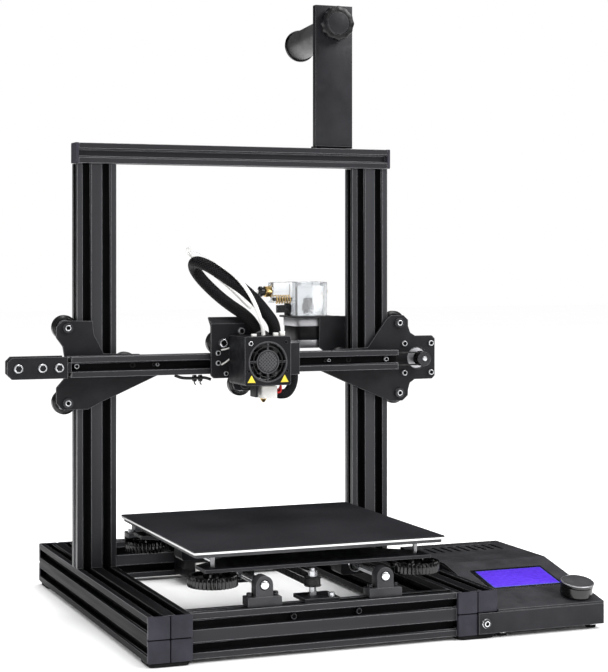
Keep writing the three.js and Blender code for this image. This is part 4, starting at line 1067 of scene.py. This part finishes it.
def hot_end():
    """Finned heat sink, silicone boot on the heater, brass nozzle, and the heater's wires in a sleeve."""
    tip = extent("hot_end")[0].z
    x, y = 174.5, 189.0
    shape = Shape()
    nozzle = [(0.6, tip), (1.2, tip + 0.2), (3.2, tip + 3.2), (3.4, tip + 3.4), (3.4, 213.4)]
    shape.lathe(nozzle, at(x, y, 0), Z, 24)
    fins = [(2.6, 212.9), (2.6, 227)]
    for i in range(7):
        z = 227 + 5 * i
        fins += [(10, z), (10, z + 1.6), (4, z + 1.6), (4, z + 4.6)]
    shape.lathe(fins + [(4, 274.6)], at(x, y, 0), Z, 40, 1)
    shape.prism(rounded(170.5, 186.5, 180.5, 198.5, 2.2), "z", 212.7, 224.8, 2)
    shape.prism(rounded(167, 182, 190, 214.7, 1), "z", 247, 256, 3)
    shape.prism(rounded(163.6, 166.4, 182, 198, 0.6), "z", 214, 227, 3)
    for i, rise in enumerate((0, 2.6)):
        route = smooth_route(6, (186, 184 + 3 * i, 218 + rise), (190, 183 + 3 * i, 219 + rise),
                             (191.5, 185, 224 + rise), (190.5, 189, 230))
        shape.tube(route, 1.1, 10, 4)
    shape.piece("hot_end_body", "carriage", [brass, aluminium, silicone, powder, red_wire],
                bevel=0.35, replaces=["hot_end"])
    loom = Shape()
    route = smooth_route(12, (203, 200, 254), (206.5, 194, 243), (207, 190.5, 233), (205, 190, 224),
                         (200, 189, 217.6), (193.8, 188, 216.2), (188.4, 188, 217))
    loom.tube(route, 4.8, 24)
    loom.piece("heater_loom", "carriage", [braided], angle=60)


hot_end()


# -------- spool holder
def spool_holder():
    """Folded plate with a bright cut edge, and the flanged tube that a spool turns on."""
    low, high = extent("spool_holder")
    x0, x1, y0, y1 = low.x, high.x, low.y, low.y + 8
    shape = Shape()
    thickness = 2.0
    inner0, inner1, web = x0 + thickness, x1 - thickness, y0 + thickness
    folded = [(x0, y0), (x1, y0), (x1, y1), (inner1, y1), (inner1, web), (inner0, web), (inner0, y1),
              (x0, y1)]
    shape.prism(folded, "z", low.z, high.z)
    shape.prism(rounded(x0, x1, y0, y1 + 5, 0.5), "z", low.z, low.z + 2)
    cut_edge = [(x0, y1 - 0.4), (inner0, y1 - 0.4), (inner0, y1), (x0, y1)]
    shape.prism(cut_edge, "z", low.z + 2, high.z - 1, 1)
    tilt = radians(4)
    way = Vector((0, cos(tilt), -sin(tilt)))
    start = at((x0 + x1) / 2, y0 + 1.8, 591)
    bore, length = 9, 94.6
    shape.lathe(washer(bore, 15.5, 0.3, length), start, way, 48, 3, loop=True)
    flange = [(bore, length), (16.9, length), (17.5, 95.2), (17.5, 97.2), (17.0, 97.9), (bore, 98)]
    shape.lathe(flange, start, way, 48, 2, loop=True)
    shape.piece("spool_bracket", "frame", [sheet_metal, zinc, knob_black, tube_grey], bevel=0.5,
                replaces=["spool_holder"])


spool_holder()


def spool_knob():
    """Round knob with a scalloped, rounded rim and a plain sunk disc."""
    x, z = middle("spool_knob").x, 596.5
    scallops = 12
    shape = Shape()
    shape.lathe([
        (13, 0), (13, 4.4), (17.3, 4.6, 0.6), (18, 5.6, 0.8), (18, 11.1, 0.8), (17.4, 12.2, 0.8),
        (16.6, 12.5, 0.6), (12.6, 12.5), (12.2, 11.9),
    ], at(x, 249.6, z), -Y, scallops * 10, dips=scallops)
    shape.lathe([(11.6, 0), (11.6, 0.3), (11.0, 0.5)], at(x, 237.75, z), -Y, 48, 1)
    shape.piece("clamping_knob", "spool_knob", [black_plastic, sheet_metal],
                replaces=["spool_knob"])


spool_knob()


# -------- control box
CASE_FRONT = extent("case_lid")[0].y
FRONT_HEIGHT = 26.4
SLOPE = atan2(24, 114)
UP_SLOPE = Vector((0, cos(SLOPE), sin(SLOPE)))
OFF_SLOPE = Vector((0, -sin(SLOPE), cos(SLOPE)))


def on_slope(x, along, height=0.0):
    """A point on the lid's sloping front, by distance up the slope and above it."""
    return at(x, CASE_FRONT, FRONT_HEIGHT) + (UP_SLOPE * along + OFF_SLOPE * height) * MM


def display():
    """Blue window in a black bezel, with a lighter line round its edge."""
    x0, x1, near, far = 352.3, 430.7, 45.3, 93.2
    shape = Shape()

    def plate(a0, a1, b0, b1, low, high, slot):
        outline = rounded(a0, a1, b0, b1, 1.0)
        shape.loft([[on_slope(a, b, level) for a, b in outline] for level in (low, high)], slot)

    plate(x0, x1, near, far, -4.2, 0.5, 0)
    plate(x0 + 4.2, x1 - 2.4, near + 3.0, far - 4.0, 0.45, 0.75, 1)
    plate(x0 + 5.2, x1 - 3.4, near + 4.0, far - 5.0, 0.7, 0.95, 2)
    rim_blue = finish("rim_blue", (0.07, 0.07, 0.5), 0.3, grain=900, bump=0.03, tint=0.05)
    shape.piece("display", "frame", [black_plastic, rim_blue, backlit_screen()], bevel=0.15,
                replaces=["lcd_screen"])


display()


def knob():
    """Turned knob: black side, bright bevelled rim and a finely brushed cap."""
    centre = on_slope(428, 17 / cos(SLOPE))
    shape = Shape()

    def turned(profile, slot, loop=False):
        shape.lathe(profile, centre, OFF_SLOPE, 64, slot, loop)

    turned([(15.0, 1.9), (15.4, 2.4), (15.4, 10.8), (14.8, 11.4), (14.8, 12.0)], 0)
    turned([(14.6, 11.6), (15.8, 11.6), (16.0, 12.0), (16.0, 13.9), (14.6, 13.9)], 0, True)
    turned([(15.0, 13.8), (16.0, 13.8), (16.0, 14.2), (15.3, 14.8), (15.0, 14.8)], 1, True)
    turned([(15.1, 11.8), (15.1, 14.4), (14.4, 14.6)], 2)
    brushed = finish("brushed_cap", (0.07, 0.07, 0.075), 0.4, 0.4, grain=2600, bump=0.2)
    shape.piece("dial", "encoder_knob", [knob_black, aluminium, brushed], replaces=["encoder_knob"])


knob()


def case_details():
    """Button screw on the flange, rubber feet with bright washers, and three side screws."""
    shape = Shape()
    screw = at(323.3, -2.0, 14.6)
    shape.lathe([(4.4, 0), (4.4, 1.2), (3.6, 2.2), (2.6, 2.9)], screw, -Y, 28)
    shape.screw(screw - Y * 2.8 * MM, -Y, 2.7, 0.3, 0, 3)
    for x, y in ((344, 8), (440, 8), (344, 206), (440, 206)):
        shape.lathe([(4.4, 0.6), (5.0, 1.2), (5.0, 3.4)], at(x, y, 0), Z, 24, 1)
        shape.lathe([(5.4, 3.4), (5.6, 3.7), (5.6, 5.1)], at(x, y, 0), Z, 24)
    for y in (30, 110, 196):
        shape.screw(at(448.7, y, 14), X, 2.6, 0.1, 2, 3)
    shape.piece("case_details", "frame", [chrome, rubber, dark_steel, painted_shade_black])


case_details()


# -------- floor, lights and surroundings
def stage_floor():
    """A wide, plain, pale floor."""
    size = 9.0
    outline = [(-size, -size), (size, -size), (size, size), (-size, size)]
    shape = Shape()
    shape.loft([[Vector((x, y, level)) for x, y in outline] for level in (-0.02, 0.0)])
    nodes = Nodes("pale_floor")
    cloud = nodes.noise(nodes.place(), 3)
    material = nodes.finish(base_color=nodes.blend(cloud, (0.97, 0.97, 0.97, 1), (1, 1, 1, 1)),
                            roughness=1.0, specular_ior_level=0.0)
    floor = shape.thing("floor", [material])


def softbox(name, place, size, power):
    """A rectangular area light that faces the machine."""
    target = Vector((0, 0, 0.25))
    data = bpy.data.lights.new(name, "AREA")
    data.shape = "RECTANGLE"
    data.size, data.size_y = size
    data.energy = power
    light = place_in_scene(name, data)
    light.location = place
    light.rotation_euler = (target - place).to_track_quat("-Z", "Y").to_euler()


stage_floor()
softbox("key", Vector((1.5, -1.7, 1.7)), (1.0, 1.0), 42)
softbox("fill", Vector((-1.9, -1.7, 1.0)), (0.9, 1.4), 9)
softbox("top", Vector((0.2, 0.2, 2.3)), (1.4, 1.4), 34)
world = bpy.data.worlds.new("studio")
world.use_nodes = True
background = world.node_tree.nodes["Background"].inputs
background["Color"].default_value = (1, 1, 1, 1)
background["Strength"].default_value = 1.0
# Reflections don't see the white surroundings, which keeps the black parts dark.
world.cycles_visibility.glossy = False
scene.world = world
scene.view_settings.view_transform = "Standard"
